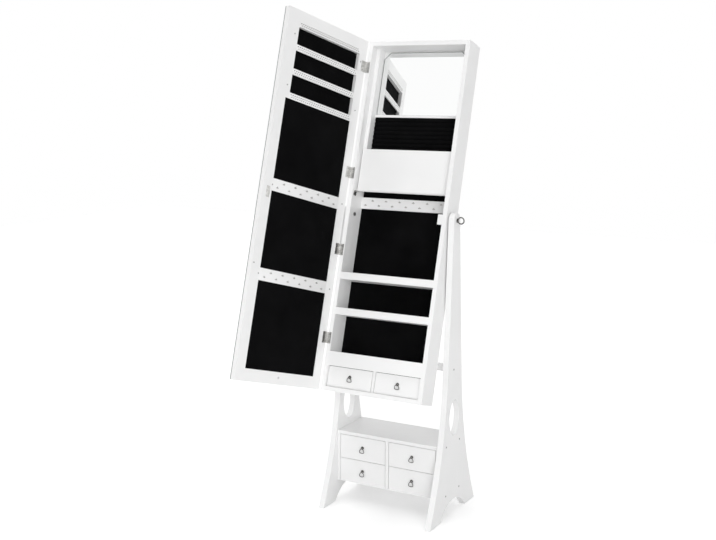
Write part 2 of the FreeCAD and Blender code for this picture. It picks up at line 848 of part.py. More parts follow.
def make_hook_rail():
    """Make the hook rail on the cabinet's back and its hooks."""
    face = "lining_front - hook_rail_thickness"
    board("hook_rail", CABINET_FRAME, ("-side_inner", "side_inner"), (face, "lining_front"),
          ("hook_rail_underside", "hook_rail_underside + hook_rail_width"))
    roots = staggered_roots("-side_inner", "side_inner", face, "hook_rail_underside")
    make_hooks("hook_rail_hooks", CABINET_FRAME, roots, Vector(0, -1, 0))


def make_catch():
    """Make the magnetic catch at the front of the right side."""
    body = new_body("magnetic_catch", CABINET_FRAME)
    face = "front_plane + catch_setback"
    add_block(body, ("side_inner - catch_width", "side_inner"),
              (face, "front_plane + catch_depth"),
              ("catch_underside", "catch_underside + catch_height"))
    cut_block(body, ("side_inner - catch_width + catch_slot_margin", "side_inner - catch_slot_margin"),
              (face, f"{face} + catch_slot_depth"),
              ("catch_underside + catch_slot_end", "catch_underside + catch_height - catch_slot_end"))


# --------------------------------------------------------------------------
# Folding tray
# --------------------------------------------------------------------------
def make_tray():
    """Make the tray, folded up against the compartment, and its two stops."""
    radius = "tray_thickness / 2"
    front = "tray_back_face - tray_thickness"
    outline = Outline("tray_back_face", "tray_axis_height")
    outline.line("tray_back_face", "tray_axis_height + tray_reach")
    outline.line(front, "tray_axis_height + tray_reach")
    outline.line(front, "tray_axis_height")
    outline.arc("tray_axis_y", f"tray_axis_height - {radius}", radius, 1)
    outline.arc("tray_back_face", "tray_axis_height", radius, 1)
    tray = new_body("tray_board", CABINET_FRAME)
    extrude(tray, "x", outline, ("-tray_half", "tray_half"))
    pin = Circle("tray_axis_y", "tray_axis_height", "tray_pin_radius")
    reach = "side_inner + tray_pin_depth"
    extrude(tray, "x", pin, ("tray_half", reach))
    extrude(tray, "x", Circle("tray_axis_y", "tray_axis_height", "tray_pin_radius"),
            (f"-({reach})", "-tray_half"))

    stops = []
    front_of_stop = "tray_axis_y - tray_stop_depth"
    for name, plate_x, flange_x in (
            ("left", "-side_inner", "-side_inner"),
            ("right", "side_inner - tray_stop_width", "side_inner - tray_stop_metal")):
        plate = primitive("Part::Box", f"tray_stop_{name}_plate",
                          (plate_x, front_of_stop, "tray_stop_top - tray_stop_metal"),
                          Length="tray_stop_width", Width="tray_stop_depth",
                          Height="tray_stop_metal")
        flange = primitive("Part::Box", f"tray_stop_{name}_flange",
                           (flange_x, front_of_stop, "tray_stop_top - tray_stop_height"),
                           Length="tray_stop_metal", Width="tray_stop_depth",
                           Height="tray_stop_height")
        stops.append(fuse(f"tray_stop_{name}", [plate, flange]))
    group("tray_stops", CABINET_FRAME, stops)


# --------------------------------------------------------------------------
# Hinges
# --------------------------------------------------------------------------
HINGES = ("hinge_upper", "hinge_middle_upper", "hinge_middle_lower", "hinge_lower")


def make_hinges():
    """Make both leaves of the four butt hinges, with pins on the cabinet leaves."""
    cabinet_leaves = []
    door_leaves = []
    third = "hinge_length / 3"
    for middle in HINGES:
        low = f"({middle} - hinge_length / 2)"
        leaf = primitive("Part::Box", middle + "_cabinet_plate",
                         ("-half_width", "front_plane - leaf_thickness", low),
                         Length="hinge_cabinet_leaf", Width="leaf_thickness", Height="hinge_length")
        tongue_low = f"{low} + {third} + hinge_end_play"
        tongue_length = f"{third} - 2 * hinge_end_play"
        tongue = primitive("Part::Box", middle + "_cabinet_tongue",
                           ("hinge_x", "front_plane - leaf_thickness", tongue_low),
                           Length="hinge_offset + hinge_standoff", Width="leaf_thickness",
                           Height=tongue_length)
        knuckle = primitive("Part::Cylinder", middle + "_cabinet_knuckle",
                            ("hinge_x", "hinge_y", tongue_low),
                            Radius="knuckle_radius", Height=tongue_length)
        pin = primitive("Part::Cylinder", middle + "_pin", ("hinge_x", "hinge_y", low),
                        Radius="hinge_pin_radius", Height="hinge_length")
        cabinet_leaves.append(fuse(middle + "_cabinet_leaf", [leaf, tongue, knuckle, pin]))

        plate = primitive("Part::Box", middle + "_door_plate",
                          ("door_near", "door_face", low),
                          Length="hinge_door_leaf", Width="leaf_thickness", Height="hinge_length")
        solids = [plate]
        for end, end_low in (("lower", low), ("upper", f"{low} + 2 * {third}")):
            solids.append(primitive("Part::Box", f"{middle}_door_tongue_{end}",
                                    ("0", "door_face", end_low),
                                    Length="hinge_offset + hinge_standoff",
                                    Width="leaf_thickness", Height=third))
            solids.append(primitive("Part::Cylinder", f"{middle}_door_knuckle_{end}",
                                    ("0", "0", end_low),
                                    Radius="knuckle_radius", Height=third))
        whole = fuse(middle + "_door_blank", solids)
        bore = primitive("Part::Cylinder", middle + "_door_bore", ("0", "0", low),
                         Radius="hinge_pin_radius + hinge_play", Height="hinge_length")
        leaf_cut = doc.addObject("Part::Cut", middle + "_door_leaf")
        leaf_cut.Base = whole
        leaf_cut.Tool = bore
        door_leaves.append(leaf_cut)
    group("hinge_leaves_cabinet", CABINET_FRAME, cabinet_leaves)
    group("hinge_leaves_door", DOOR_FRAME, door_leaves)


# --------------------------------------------------------------------------
# Door
# --------------------------------------------------------------------------
def window_outline():
    """Return the opening of the door frame, narrower where the earring bars are."""
    outline = Outline("window_near", "window_bottom")
    outline.line("window_far", "window_bottom")
    outline.line("window_far", "earring_bar_underside")
    outline.line("window_far_upper", "earring_bar_underside")
    outline.line("window_far_upper", "window_top")
    outline.line("window_near", "window_top")
    return outline.line("window_near", "window_bottom")


def make_door():
    """Make the door's frame, back board, mirror, bars, linings and strike plate."""
    whole_x = ("door_near", "door_far")
    whole_z = ("-cabinet_drop", "cabinet_rise")
    frame = new_body("door_frame", DOOR_FRAME)
    frame_depth = ("door_frame_back", "door_face")
    extrude(frame, "y", rectangle(whole_x, whole_z), frame_depth)
    cut(frame, "y", window_outline(), frame_depth)
    board("door_back_board", DOOR_FRAME, whole_x, ("door_glass_front", "door_frame_back"), whole_z)
    board("door_mirror", DOOR_FRAME, whole_x, ("door_outer_face", "door_glass_front"), whole_z)

    bars = []
    for index in range(3):
        bars.append(primitive("Part::Box", f"earring_bar_{index}",
                              ("window_near", "door_face - earring_bar_thickness",
                               f"earring_bar_underside + {index} * earring_bar_pitch"),
                              Length="window_far_upper - window_near",
                              Width="earring_bar_thickness", Height="earring_bar_height"))
    roots = []
    for name, underside in (("upper", "door_rail_upper_underside"),
                            ("lower", "door_rail_lower_underside")):
        bars.append(primitive("Part::Box", "door_rail_" + name,
                               ("window_near", "door_frame_back", underside),
                               Length="window_far - window_near",
                               Width="door_face - door_frame_back", Height="door_rail_height"))
        roots += staggered_roots("window_near", "window_far", "door_face", underside)
    group("door_bars", DOOR_FRAME, bars)
    make_hooks("door_hooks", DOOR_FRAME, roots, Vector(0, 1, 0))

    linings = [primitive("Part::Box", "lining_behind_bars",
                         ("window_near", "door_frame_back", "earring_bar_underside"),
                         Length="window_far_upper - window_near", Width="lining",
                         Height="window_top - earring_bar_underside")]
    rail_top = "door_rail_height"
    for name, low, high in (
            ("upper", f"door_rail_upper_underside + {rail_top}", "earring_bar_underside"),
            ("middle", f"door_rail_lower_underside + {rail_top}", "door_rail_upper_underside"),
            ("lower", "window_bottom", "door_rail_lower_underside")):
        linings.append(primitive("Part::Box", "lining_pad_" + name,
                                 ("window_near", "door_frame_back", low),
                                 Length="window_far - window_near",
                                 Width="door_frame_board - door_lining_setback",
                                 Height=f"{high} - ({low})"))
    group("door_linings", DOOR_FRAME, linings)

    strike_middle = "hinge_offset + half_width + side_inner - catch_width / 2"
    board("strike_plate", DOOR_FRAME,
          (f"{strike_middle} - strike_width / 2", f"{strike_middle} + strike_width / 2"),
          ("door_face", "door_face + strike_thickness"),
          ("catch_underside + (catch_height - strike_height) / 2",
           "catch_underside + (catch_height + strike_height) / 2"))


# --------------------------------------------------------------------------
# Eye bolts
# --------------------------------------------------------------------------
def make_eye_bolts():
    """Make the two eye bolts that carry the cabinet and set its lean."""
    for side, sign in (("left", "-"), ("right", "")):
        outward = Rotation(Vector(0, 1, 0), 90 if side == "right" else -90)
        tail = f"{sign}(side_inner - bolt_tail)"
        shank = primitive("Part::Cylinder", f"bolt_{side}_shank", (tail, "0", "pivot_height"),
                          outward, Radius="bolt_radius",
                          Height="leg_outer - side_inner + bolt_tail")
        collar = primitive("Part::Cylinder", f"bolt_{side}_collar",
                           (f"{sign}leg_outer", "0", "pivot_height"), outward,
                           Radius="bolt_collar_radius", Height="bolt_collar_thickness")
        eye_centre = f"{sign}(leg_outer + bolt_collar_thickness + bolt_eye_radius)"
        eye = wire_ring(f"bolt_{side}_eye", "bolt_eye_radius", "bolt_eye_wire_radius")
        bind(eye, "Placement.Base.x", eye_centre)
        bind(eye, "Placement.Base.z", "pivot_height")
        bolt = fuse("eye_bolt_" + side, [shank, collar, eye])
        bolt.Label = "eye_bolt_" + side
        pieces.append(bolt)


# --------------------------------------------------------------------------
# Build, check and write
# --------------------------------------------------------------------------
def check_and_write():
    """Check every object, then write each piece to a STEP file named after it."""
    for item in doc.Objects:
        if "Invalid" in item.State or "Error" in item.State:
            raise RuntimeError(f"{item.Label} failed: {item.State}")
    for piece in pieces:
        if piece.Shape.isNull() or not piece.Shape.isValid() or not piece.Shape.Solids:
            raise RuntimeError(f"{piece.Label} has no valid solid")
    os.makedirs("parts", exist_ok=True)
    for piece in pieces:
        piece.Shape.exportStep(f"parts/{piece.Label}.step")
    print(len(pieces), "pieces written")


make_stand()
make_chest_drawers()
make_shell()
make_shelves()
make_insert()
make_hook_rail()
make_catch()
make_small_drawers()
make_tray()
make_hinges()
make_door()
make_eye_bolts()
doc.recompute()
check_and_write()
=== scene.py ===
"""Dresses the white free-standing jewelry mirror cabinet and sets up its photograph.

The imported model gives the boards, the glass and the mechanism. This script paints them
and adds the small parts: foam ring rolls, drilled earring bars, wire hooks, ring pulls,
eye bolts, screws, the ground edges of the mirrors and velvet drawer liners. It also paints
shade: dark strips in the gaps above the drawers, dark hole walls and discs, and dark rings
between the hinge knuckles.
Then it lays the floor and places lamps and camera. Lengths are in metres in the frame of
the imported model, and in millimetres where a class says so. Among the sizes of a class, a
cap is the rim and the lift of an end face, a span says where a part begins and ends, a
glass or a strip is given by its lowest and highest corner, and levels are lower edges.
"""

import json
import logging
import math
from collections.abc import Callable, Iterable, Iterator, Sequence
from dataclasses import dataclass, replace
from enum import Enum

import bmesh
import bpy
from mathutils import Matrix, Vector

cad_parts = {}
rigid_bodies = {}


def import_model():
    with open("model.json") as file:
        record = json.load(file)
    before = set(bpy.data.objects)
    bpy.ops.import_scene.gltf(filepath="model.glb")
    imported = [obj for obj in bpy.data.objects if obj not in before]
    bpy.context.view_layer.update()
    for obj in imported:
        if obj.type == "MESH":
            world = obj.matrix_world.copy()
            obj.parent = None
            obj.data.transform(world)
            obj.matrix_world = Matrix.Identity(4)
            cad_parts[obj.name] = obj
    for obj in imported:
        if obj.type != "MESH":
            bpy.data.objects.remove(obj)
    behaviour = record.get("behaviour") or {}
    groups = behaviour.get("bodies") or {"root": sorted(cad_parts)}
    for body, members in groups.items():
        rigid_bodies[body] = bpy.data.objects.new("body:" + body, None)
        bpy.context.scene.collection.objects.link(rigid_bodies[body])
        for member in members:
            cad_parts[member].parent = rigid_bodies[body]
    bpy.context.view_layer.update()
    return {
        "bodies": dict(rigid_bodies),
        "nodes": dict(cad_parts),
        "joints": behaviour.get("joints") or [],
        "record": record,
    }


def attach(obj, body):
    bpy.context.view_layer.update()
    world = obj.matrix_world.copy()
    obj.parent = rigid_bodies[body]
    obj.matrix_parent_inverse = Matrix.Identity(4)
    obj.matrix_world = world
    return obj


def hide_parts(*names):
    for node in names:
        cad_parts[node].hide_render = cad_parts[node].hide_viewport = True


log = logging.getLogger("jewelry_cabinet")

Pair = tuple[float, float]
Triple = tuple[float, float, float]

MM = 0.001
HAIR = 0.1 * MM
MERGE = 0.01 * MM
FACING = 0.9
UP = Vector((0, 0, 1))
INTO_ROOM = Vector((0, 1, 0))
SIDES = (("left", -1.0), ("right", 1.0))


def mm(x: float, y: float, z: float) -> Vector:
    """Return a point that is given in millimetres."""
    return Vector((x, y, z)) * MM


class Body(str, Enum):
    """The moving bodies that the new pieces ride on, beside the drawers."""

    STAND = "stand"
    CABINET = "cabinet"
    DOOR = "door"
    BOLT_LEFT = "bolt_left"
    BOLT_RIGHT = "bolt_right"


class Slot(str, Enum):
    """The record's names for the finishes."""

    LACQUER = "white_lacquer"
    VELVET = "black_velvet"
    FOAM = "ring_foam"
    MIRROR = "mirror_glass"
    NICKEL = "nickel_steel"


class Element(str, Enum):
    """What is picked in edit mode."""

    FACE = "FACE"
    EDGE = "EDGE"


@dataclass(frozen=True)
class Layout:
    """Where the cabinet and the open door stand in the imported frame.

    Attributes:
        pivot_height: Height of the tilt axis.
        lean: How far the cabinet leans back.
        door_open: How far the door stands open at rest.
        hinge: The hinge line in the cabinet's own frame.
    """

    pivot_height: float = 1.005
    lean: float = math.radians(16.5)
    door_open: float = math.radians(104.5)
    hinge: Triple = (-0.191, -0.0335, 0.0)

    def cabinet(self) -> Matrix:
        """Return the matrix from the cabinet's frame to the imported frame."""
        return Matrix.Translation((0, 0, self.pivot_height)) @ Matrix.Rotation(-self.lean, 4, "X")

    def door(self) -> Matrix:
        """Return the matrix from the open door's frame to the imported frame."""
        swing = Matrix.Rotation(-self.door_open, 4, "Z")
        return self.cabinet() @ Matrix.Translation(self.hinge) @ swing


LAYOUT = Layout()


# ---- Finishes ----
@dataclass(frozen=True)
class Noise:
    """A noise on object coordinates.

    Attributes:
        scale: Waves for each metre.
        detail: Number of finer octaves.
        roughness: Strength of the finer octaves.
        stretch: How much finer the noise is along each axis.
    """

    scale: float
    detail: float = 2.0
    roughness: float = 0.5
    stretch: Triple = (1.0, 1.0, 1.0)


Layer = tuple[Noise, float, float]
Value = float | tuple[float, ...] | bpy.types.NodeSocket | bpy.types.Node
Sockets = tuple[tuple[str, Value], ...]
Relief = tuple[Layer, ...]


class Nodes:
    """A node tree under construction, wired by short calls."""

    def __init__(self, owner: bpy.types.Material | bpy.types.World) -> None:
        """Start with an empty tree.

        Args:
            owner: The material or world that the tree belongs to.
        """
        owner.use_nodes = True
        self.tree = owner.node_tree
        self.tree.nodes.clear()

    def fill(self, target: bpy.types.NodeSocket, value: Value) -> None:
        """Set an input to a value, or wire it up.

        Args:
            target: The input.
            value: A value, a socket, or a node whose first output is meant.
        """
        if isinstance(value, bpy.types.Node):
            value = value.outputs[0]
        if isinstance(value, bpy.types.NodeSocket):
            self.tree.links.new(value, target)
        else:
            target.default_value = value

    def add(self, kind: str, *inputs: Value, **named: Value) -> bpy.types.Node:
        """Add a node and fill its inputs.

        Args:
            kind: Its type, without the leading "ShaderNode".
            *inputs: What its first inputs get, in order.
            **named: What other inputs get, by their names with underscores.

        Returns:
            The node.
        """
        node = self.tree.nodes.new("ShaderNode" + kind)
        for target, value in zip(node.inputs, inputs):
            self.fill(target, value)
        for name, value in named.items():
            self.fill(node.inputs[name.replace("_", " ")], value)
        return node

    def reckon(self, operation: str, first: Value, second: Value) -> bpy.types.Node:
        """Add a Math node.

        Args:
            operation: What it does.
            first: Its first value.
            second: Its second value.

        Returns:
            The node.
        """
        node = self.add("Math", first, second)
        node.operation = operation
        return node

    def seen_rays(self) -> bpy.types.Node:
        """Add nodes that give 1 to camera, glossy and transmission rays.

        Returns:
            The last of them.
        """
        path = self.add("LightPath").outputs
        seen = self.reckon("MAXIMUM", path["Is Camera Ray"], path["Is Glossy Ray"])
        return self.reckon("MAXIMUM", seen, path["Is Transmission Ray"])


class Shader(Nodes):
    """A material around one Principled shader."""

    noise_low = 0.3
    noise_high = 0.7

    def __init__(self, name: str) -> None:
        """Start a material.

        Args:
            name: The material's name.
        """
        self.material = bpy.data.materials.new(name)
        super().__init__(self.material)
        self.surface = self.add("BsdfPrincipled")
        self.add("OutputMaterial", self.surface)
        self.coordinates = self.add("TexCoord").outputs["Object"]
        self.noises: dict[Noise, bpy.types.Node] = {}

    def noise(self, noise: Noise) -> bpy.types.Node:
        """Find the node of a noise, or add it.

        Args:
            noise: The noise.

        Returns:
            Its node.
        """
        if noise not in self.noises:
            spot = self.add("Mapping", Vector=self.coordinates, Scale=noise.stretch)
            self.noises[noise] = self.add("TexNoise", Vector=spot, Scale=noise.scale,
                                          Detail=noise.detail, Roughness=noise.roughness)
        return self.noises[noise]

    def polish(self, noise: Noise, bright: float, dull: float) -> None:
        """Let the roughness wander.

        Args:
            noise: The noise that it follows.
            bright: Roughness at the noise's low end.
            dull: Roughness at its high end.
        """
        spread = self.add("MapRange", Value=self.noise(noise), From_Min=self.noise_low,
                          From_Max=self.noise_high, To_Min=bright, To_Max=dull)
        self.fill(self.surface.inputs["Roughness"], spread)

    def tones(self, noise: Noise, dark: Triple, light: Triple) -> None:
        """Let the base colour wander.

        Args:
            noise: The noise that it follows.
            dark: Tone at the noise's low end.
            light: Tone at its high end.
        """
        ramp = self.add("ValToRGB", Fac=self.noise(noise))
        ends = ((self.noise_low, dark), (self.noise_high, light))
        for element, (position, tone) in zip(ramp.color_ramp.elements, ends):
            element.position = position
            element.color = (*tone, 1.0)
        self.fill(self.surface.inputs["Base Color"], ramp)

    def relief(self, layers: Iterable[Layer]) -> None:
        """Raise the surface.

        Args:
            layers: Noise, strength and distance of each layer.
        """
        under = None
        for noise, strength, distance in layers:
            bump = self.add("Bump", Height=self.noise(noise), Strength=strength,
                            Distance=distance)
            if under is not None:
                self.fill(bump.inputs["Normal"], under)
            under = bump
        if under is not None:
            self.fill(self.surface.inputs["Normal"], under)


@dataclass(frozen=True)
class Coat:
    """A mixed finish."""

    material: bpy.types.Material
    slot: Slot


@dataclass(frozen=True)
class Finish:
    """What all finishes share.

    Attributes:
        name: The material's name.
        shade: The darker tone.
        light: The lighter tone.
        clouds: The noise between the tones.
        bright: Roughness where the polish is best.
        dull: Roughness where it is worst.
        polish: The noise between the two.
        relief: The layers of relief.
        slot: The record's slot.
        sockets: Values of the shader's own sockets.
    """

    name: str
    shade: Triple = (0.0, 0.0, 0.0)
    light: Triple = (1.0, 1.0, 1.0)
    clouds: Noise | None = None
    bright: float = 0.0
    dull: float = 0.0
    polish: Noise | None = None
    relief: Relief = ()
    slot: Slot = Slot.LACQUER
    sockets: Sockets = ()

    def coat(self) -> Coat:
        """Mix the finish.

        Returns:
            The finish, ready for the pieces.
        """
        shader = Shader(self.name)
        for name, value in self.sockets:
            shader.fill(shader.surface.inputs[name], value)
        if self.clouds:
            shader.tones(self.clouds, self.shade, self.light)
        if self.polish:
            shader.polish(self.polish, self.bright, self.dull)
        shader.relief(self.relief)
        return Coat(shader.material, self.slot)


@dataclass(frozen=True)
class Lacquer(Finish):
    """White lacquer sprayed on fibreboard, with the faint orange peel of a spray coat."""

    name: str = "sprayed_white_lacquer"
    shade: Triple = (0.83, 0.83, 0.83)
    light: Triple = (0.87, 0.87, 0.868)
    clouds: Noise = Noise(4.5, 3.0)
    bright: float = 0.36
    dull: float = 0.46
    polish: Noise = Noise(23.0, 3.0)
    relief: Relief = ((Noise(420.0), 0.10, 0.0004), (Noise(38.0, 1.0), 0.05, 0.0010))
    sockets: Sockets = (("Coat Weight", 0.12), ("Coat Roughness", 0.22),
                        ("Specular IOR Level", 0.45))


@dataclass(frozen=True)
class Velvet(Finish):
    """Black flocked velvet: a short pile with brushed patches and a soft sheen."""

    name: str = "black_flocked_velvet"
    shade: Triple = (0.0018, 0.0018, 0.0020)
    light: Triple = (0.0042, 0.0042, 0.0045)
    clouds: Noise = Noise(9.0, 4.0, 0.6)
    relief: Relief = ((Noise(2600.0, 2.0, 0.7), 0.55, 0.0005),
                      (Noise(60.0, 3.0, 0.6), 0.18, 0.0012))
    slot: Slot = Slot.VELVET
    sockets: Sockets = (
        ("Roughness", 0.95), ("Sheen Roughness", 0.42), ("Sheen Tint", (0.75, 0.76, 0.8, 1.0)),
        ("Sheen Weight", 0.02), ("Specular IOR Level", 0.05))


@dataclass(frozen=True)
class RollVelvet(Velvet):
    """The velvet around the ring rolls, which shines less."""

    name: str = "ring_roll_velvet"
    shade: Triple = (0.0024, 0.0024, 0.0026)
    light: Triple = (0.0052, 0.0052, 0.0055)
    slot: Slot = Slot.FOAM
    sockets: Sockets = (*Velvet.sockets[:-2], ("Sheen Weight", 0.006),
                        ("Specular IOR Level", 0.02))


@dataclass(frozen=True)
class Mirror(Finish):
    """Silvered glass, with the faintest uneven wipe marks."""

    name: str = "silvered_glass"
    bright: float = 0.004
    dull: float = 0.03
    polish: Noise = Noise(7.0, 4.0, 0.65)
    slot: Slot = Slot.MIRROR
    sockets: Sockets = (("Base Color", (0.972, 0.978, 0.975, 1.0)), ("Metallic", 1.0))


@dataclass(frozen=True)
class Nickel(Finish):
    """Nickel-plated steel with a fine drawn grain along one axis."""

    name: str = "nickel_plate"
    shade: Triple = (0.54, 0.535, 0.52)
    light: Triple = (0.80, 0.795, 0.78)
    clouds: Noise = Noise(90.0, 3.0)
    bright: float = 0.16
    dull: float = 0.38
    polish: Noise = Noise(260.0, 3.0, 0.6, (1.0, 1.0, 14.0))
    relief: Relief = ((polish, 0.08, 0.0002),)
    slot: Slot = Slot.NICKEL
    sockets: Sockets = (("Metallic", 1.0),)


@dataclass(frozen=True)
class SmallNickel(Nickel):
    """Plated steel of the small parts, whose grain has no direction."""

    polish: Noise = Noise(260.0, 3.0, 0.6)
    relief: Relief = ((polish, 0.08, 0.0002),)


@dataclass(frozen=True)
class Bumper(Finish):
    """Milky soft plastic of the small door bumper."""

    name: str = "milky_bumper"
    shade: Triple = (0.55, 0.55, 0.54)
    light: Triple = (0.63, 0.63, 0.62)
    clouds: Noise = Noise(300.0)
    relief: Relief = ((Noise(900.0), 0.1, 0.0002),)
    sockets: Sockets = (("Roughness", 0.3), ("Subsurface Weight", 0.3),
                        ("Subsurface Scale", 0.002))


@dataclass(frozen=True)
class HoleShade(Finish):
    """Painted shade for small holes and gaps: a dark, rough tone where their own shade falls."""

    name: str = "drilled_hole"
    shade: Triple = (0.045, 0.04, 0.035)
    light: Triple = (0.11, 0.10, 0.09)
    clouds: Noise = Noise(800.0)
    relief: Relief = ((Noise(1500.0), 0.4, 0.0003),)
    sockets: Sockets = (("Roughness", 0.9), ("Specular IOR Level", 0.1))


@dataclass(frozen=True)
class GlassRim(Finish):
    """The ground edge of a silvered glass, with a faint green depth."""

    name: str = "ground_glass_rim"
    shade: Triple = (0.17, 0.19, 0.183)
    light: Triple = (0.31, 0.33, 0.322)
    clouds: Noise = Noise(120.0, 3.0)
    bright: float = 0.28
    dull: float = 0.5
    polish: Noise = Noise(700.0)
    relief: Relief = ((Noise(1400.0), 0.12, 0.0002),)
    slot: Slot = Slot.MIRROR
    sockets: Sockets = (("Specular IOR Level", 0.6), ("Coat Weight", 0.4),
                        ("Coat Roughness", 0.12))


class Paints:
    """One coat of each finish, mixed once and shared."""

    def __init__(self) -> None:
        """Mix every finish."""
        self.lacquer = Lacquer().coat()
        self.velvet = Velvet().coat()
        self.foam = RollVelvet().coat()
        self.mirror = Mirror().coat()
        self.nickel = Nickel().coat()
        self.bumper = Bumper().coat()
        # painted shade for holes and gaps: the dark hole-shade finish
        self.bore = HoleShade().coat()
        self.glass_rim = GlassRim().coat()
        self.hook = SmallNickel("bright_nickel_hook", (0.46, 0.455, 0.445), (0.66, 0.655, 0.64),
                                bright=0.22, dull=0.40).coat()
        self.pull = SmallNickel("dark_nickel_pull", (0.10, 0.098, 0.094), (0.24, 0.236, 0.228),
                                bright=0.18, dull=0.34).coat()
        self.screw = SmallNickel("dull_screw_steel", (0.20, 0.20, 0.195), (0.33, 0.325, 0.315),
                                 bright=0.3, dull=0.42).coat()


@dataclass(frozen=True)
class Assembly:
    """A sub-assembly that is painted with the shared finishes."""

    paints: Paints


# ---- Hand tools ----
def deselect() -> None:
    """Deselect every object."""
    bpy.ops.object.select_all(action="DESELECT")


def only(obj: bpy.types.Object) -> None:
    """Select one object alone and make it active."""
    deselect()
    obj.select_set(True)
    bpy.context.view_layer.objects.active = obj


class Workpiece:
    """A mesh on the bench, shaped by operators and modifiers."""

    def __init__(self, obj: bpy.types.Object, name: str) -> None:
        """Take a fresh primitive and bake its place into its mesh.

        Args:
            obj: The new object.
            name: The name it gets.
        """
        self.obj = obj
        obj.name = name
        only(obj)
        bpy.ops.object.transform_apply(location=True, rotation=True, scale=True)

    @classmethod
    def rod(cls, name: str, radius: float, start: Vector, end: Vector,
            sides: int = 24) -> "Workpiece":
        """Add a round bar between two points.

        Args:
            name: Name of the piece.
            radius: Radius of the bar.
            start: Centre of one end.
            end: Centre of the other end.
            sides: Number of sides.

        Returns:
            The bar.
        """
        deselect()
        axis = end - start
        turn = UP.rotation_difference(axis).to_euler()
        bpy.ops.mesh.primitive_cylinder_add(vertices=sides, radius=radius, depth=axis.length,
                                            location=(start + end) / 2, rotation=turn)
        return cls(bpy.context.object, name)

    @classmethod
    def block(cls, name: str, low: Vector, high: Vector) -> "Workpiece":
        """Add a block.

        Args:
            name: Name of the piece.
            low: Its lowest corner.
            high: Its highest corner.

        Returns:
            The block.
        """
        deselect()
        bpy.ops.mesh.primitive_cube_add(size=1.0, location=(low + high) / 2, scale=high - low)
        return cls(bpy.context.object, name)

    @classmethod
    def disc(cls, name: str, radius: float, sides: int, at: Triple, turn: Triple) -> "Workpiece":
        """Add a flat disc, the end of a wire, and start to work on it.

        Args:
            name: Name of the piece.
            radius: Radius of the wire.
            sides: Number of sides.
            at: Centre of the disc.
            turn: Its rotation.

        Returns:
            The disc, in edit mode with everything selected.
        """
        deselect()
        bpy.ops.mesh.primitive_circle_add(vertices=sides, radius=radius, fill_type="NGON",
                                          location=at, rotation=turn)
        disc = cls(bpy.context.object, name)
        bpy.ops.object.mode_set(mode="EDIT")
        bpy.ops.mesh.select_all(action="SELECT")
        return disc

    def pick(self, test: Callable[..., bool], kind: Element = Element.FACE) -> None:
        """Enter edit mode and select what passes a test.

        Args:
            test: Says whether a face or an edge is wanted.
            kind: Which of the two is picked.
        """
        only(self.obj)
        bpy.ops.object.mode_set(mode="EDIT")
        bpy.ops.mesh.select_mode(type=kind.value)
        bpy.ops.mesh.select_all(action="DESELECT")
        mesh = bmesh.from_edit_mesh(self.obj.data)
        for element in mesh.faces if kind is Element.FACE else mesh.edges:
            element.select_set(test(element))
        bmesh.update_edit_mesh(self.obj.data)

    def leave(self) -> None:
        """Go back to object mode."""
        bpy.ops.object.mode_set(mode="OBJECT")

    def close(self) -> None:
        """Merge doubles, turn the faces outwards and go back to object mode."""
        bpy.ops.mesh.select_all(action="SELECT")
        bpy.ops.mesh.remove_doubles(threshold=MERGE)
        bpy.ops.mesh.normals_make_consistent(inside=False)
        self.leave()

    def raise_cap(self, axis: Vector, inset: float, lift: float) -> None:
        """Inset the end face that looks along an axis, and lift it.

        Args:
            axis: Direction the face looks in.
            inset: Width of the rim left around it.
            lift: How far it moves along the axis.
        """
        self.pick(lambda face: face.normal.dot(axis) > FACING)
        bpy.ops.mesh.inset(thickness=inset, depth=0.0)
        bpy.ops.transform.translate(value=axis * lift)
        self.leave()

    def modify(self, kind: str, **settings: object) -> "Workpiece":
        """Apply a modifier.

        Args:
            kind: Its type.
            **settings: Its settings.

        Returns:
            The same piece.
        """
        modifier = self.obj.modifiers.new(kind.lower(), kind)
        for name, value in settings.items():
            setattr(modifier, name, value)
        only(self.obj)
        bpy.ops.object.modifier_apply(modifier=modifier.name)
        return self

    def ease(self, width: float, segments: int = 2) -> "Workpiece":
        """Round the sharp edges over a width, with a number of facets, and return the piece."""
        return self.modify("BEVEL", width=width, segments=segments, limit_method="ANGLE",
                           angle_limit=math.radians(40))

    def cut(self, cutter: "Workpiece") -> "Workpiece":
        """Cut another piece out of this one.

        Args:
            cutter: The piece taken away, which is discarded.

        Returns:
            The same piece.
        """
        self.modify("BOOLEAN", operation="DIFFERENCE", solver="EXACT", object=cutter.obj)
        bpy.data.objects.remove(cutter.obj)
        return self

    def join(self, others: Iterable["Workpiece"]) -> "Workpiece":
        """Join other pieces to this one.

        Args:
            others: The other pieces.

        Returns:
            The same piece.
        """
        deselect()
        for other in others:
            other.obj.select_set(True)
        self.obj.select_set(True)
        bpy.context.view_layer.objects.active = self.obj
        bpy.ops.object.join()
        return self

    def repeat(self, places: Sequence[Matrix]) -> "Workpiece":
        """Copy the piece to each place, join the copies and discard the pattern.

        Args:
            places: Where each copy goes.

        Returns:
            The joined copies.
        """
        name = self.obj.name
        copies: list[Workpiece] = []
        for place in places:
            mesh = self.obj.data.copy()
            mesh.transform(place)
            obj = bpy.data.objects.new(name, mesh)
            bpy.context.scene.collection.objects.link(obj)
            copies.append(Workpiece(obj, name + "_copy"))
        bpy.data.objects.remove(self.obj)
        whole = copies[0].join(copies[1:])
        whole.obj.name = name
        return whole

    def moved(self, place: Matrix) -> "Workpiece":
        """Move the mesh itself and return the same piece."""
        self.obj.data.transform(place)
        return self

    def smooth(self, angle: float = 35.0) -> "Workpiece":
        """Shade the piece smooth below an angle in degrees and return it."""
        only(self.obj)
        bpy.ops.object.shade_smooth_by_angle(angle=math.radians(angle))
        return self

    def mark(self, coat: Coat, test: Callable[[bpy.types.MeshPolygon], bool]) -> None:
        """Give the faces that pass a test a finish of their own.

        Args:
            coat: The finish.
            test: Says whether a face gets it.
        """
        self.obj.data.materials.append(coat.material)
        for face in self.obj.data.polygons:
            if test(face):
                face.material_index = len(self.obj.data.materials) - 1

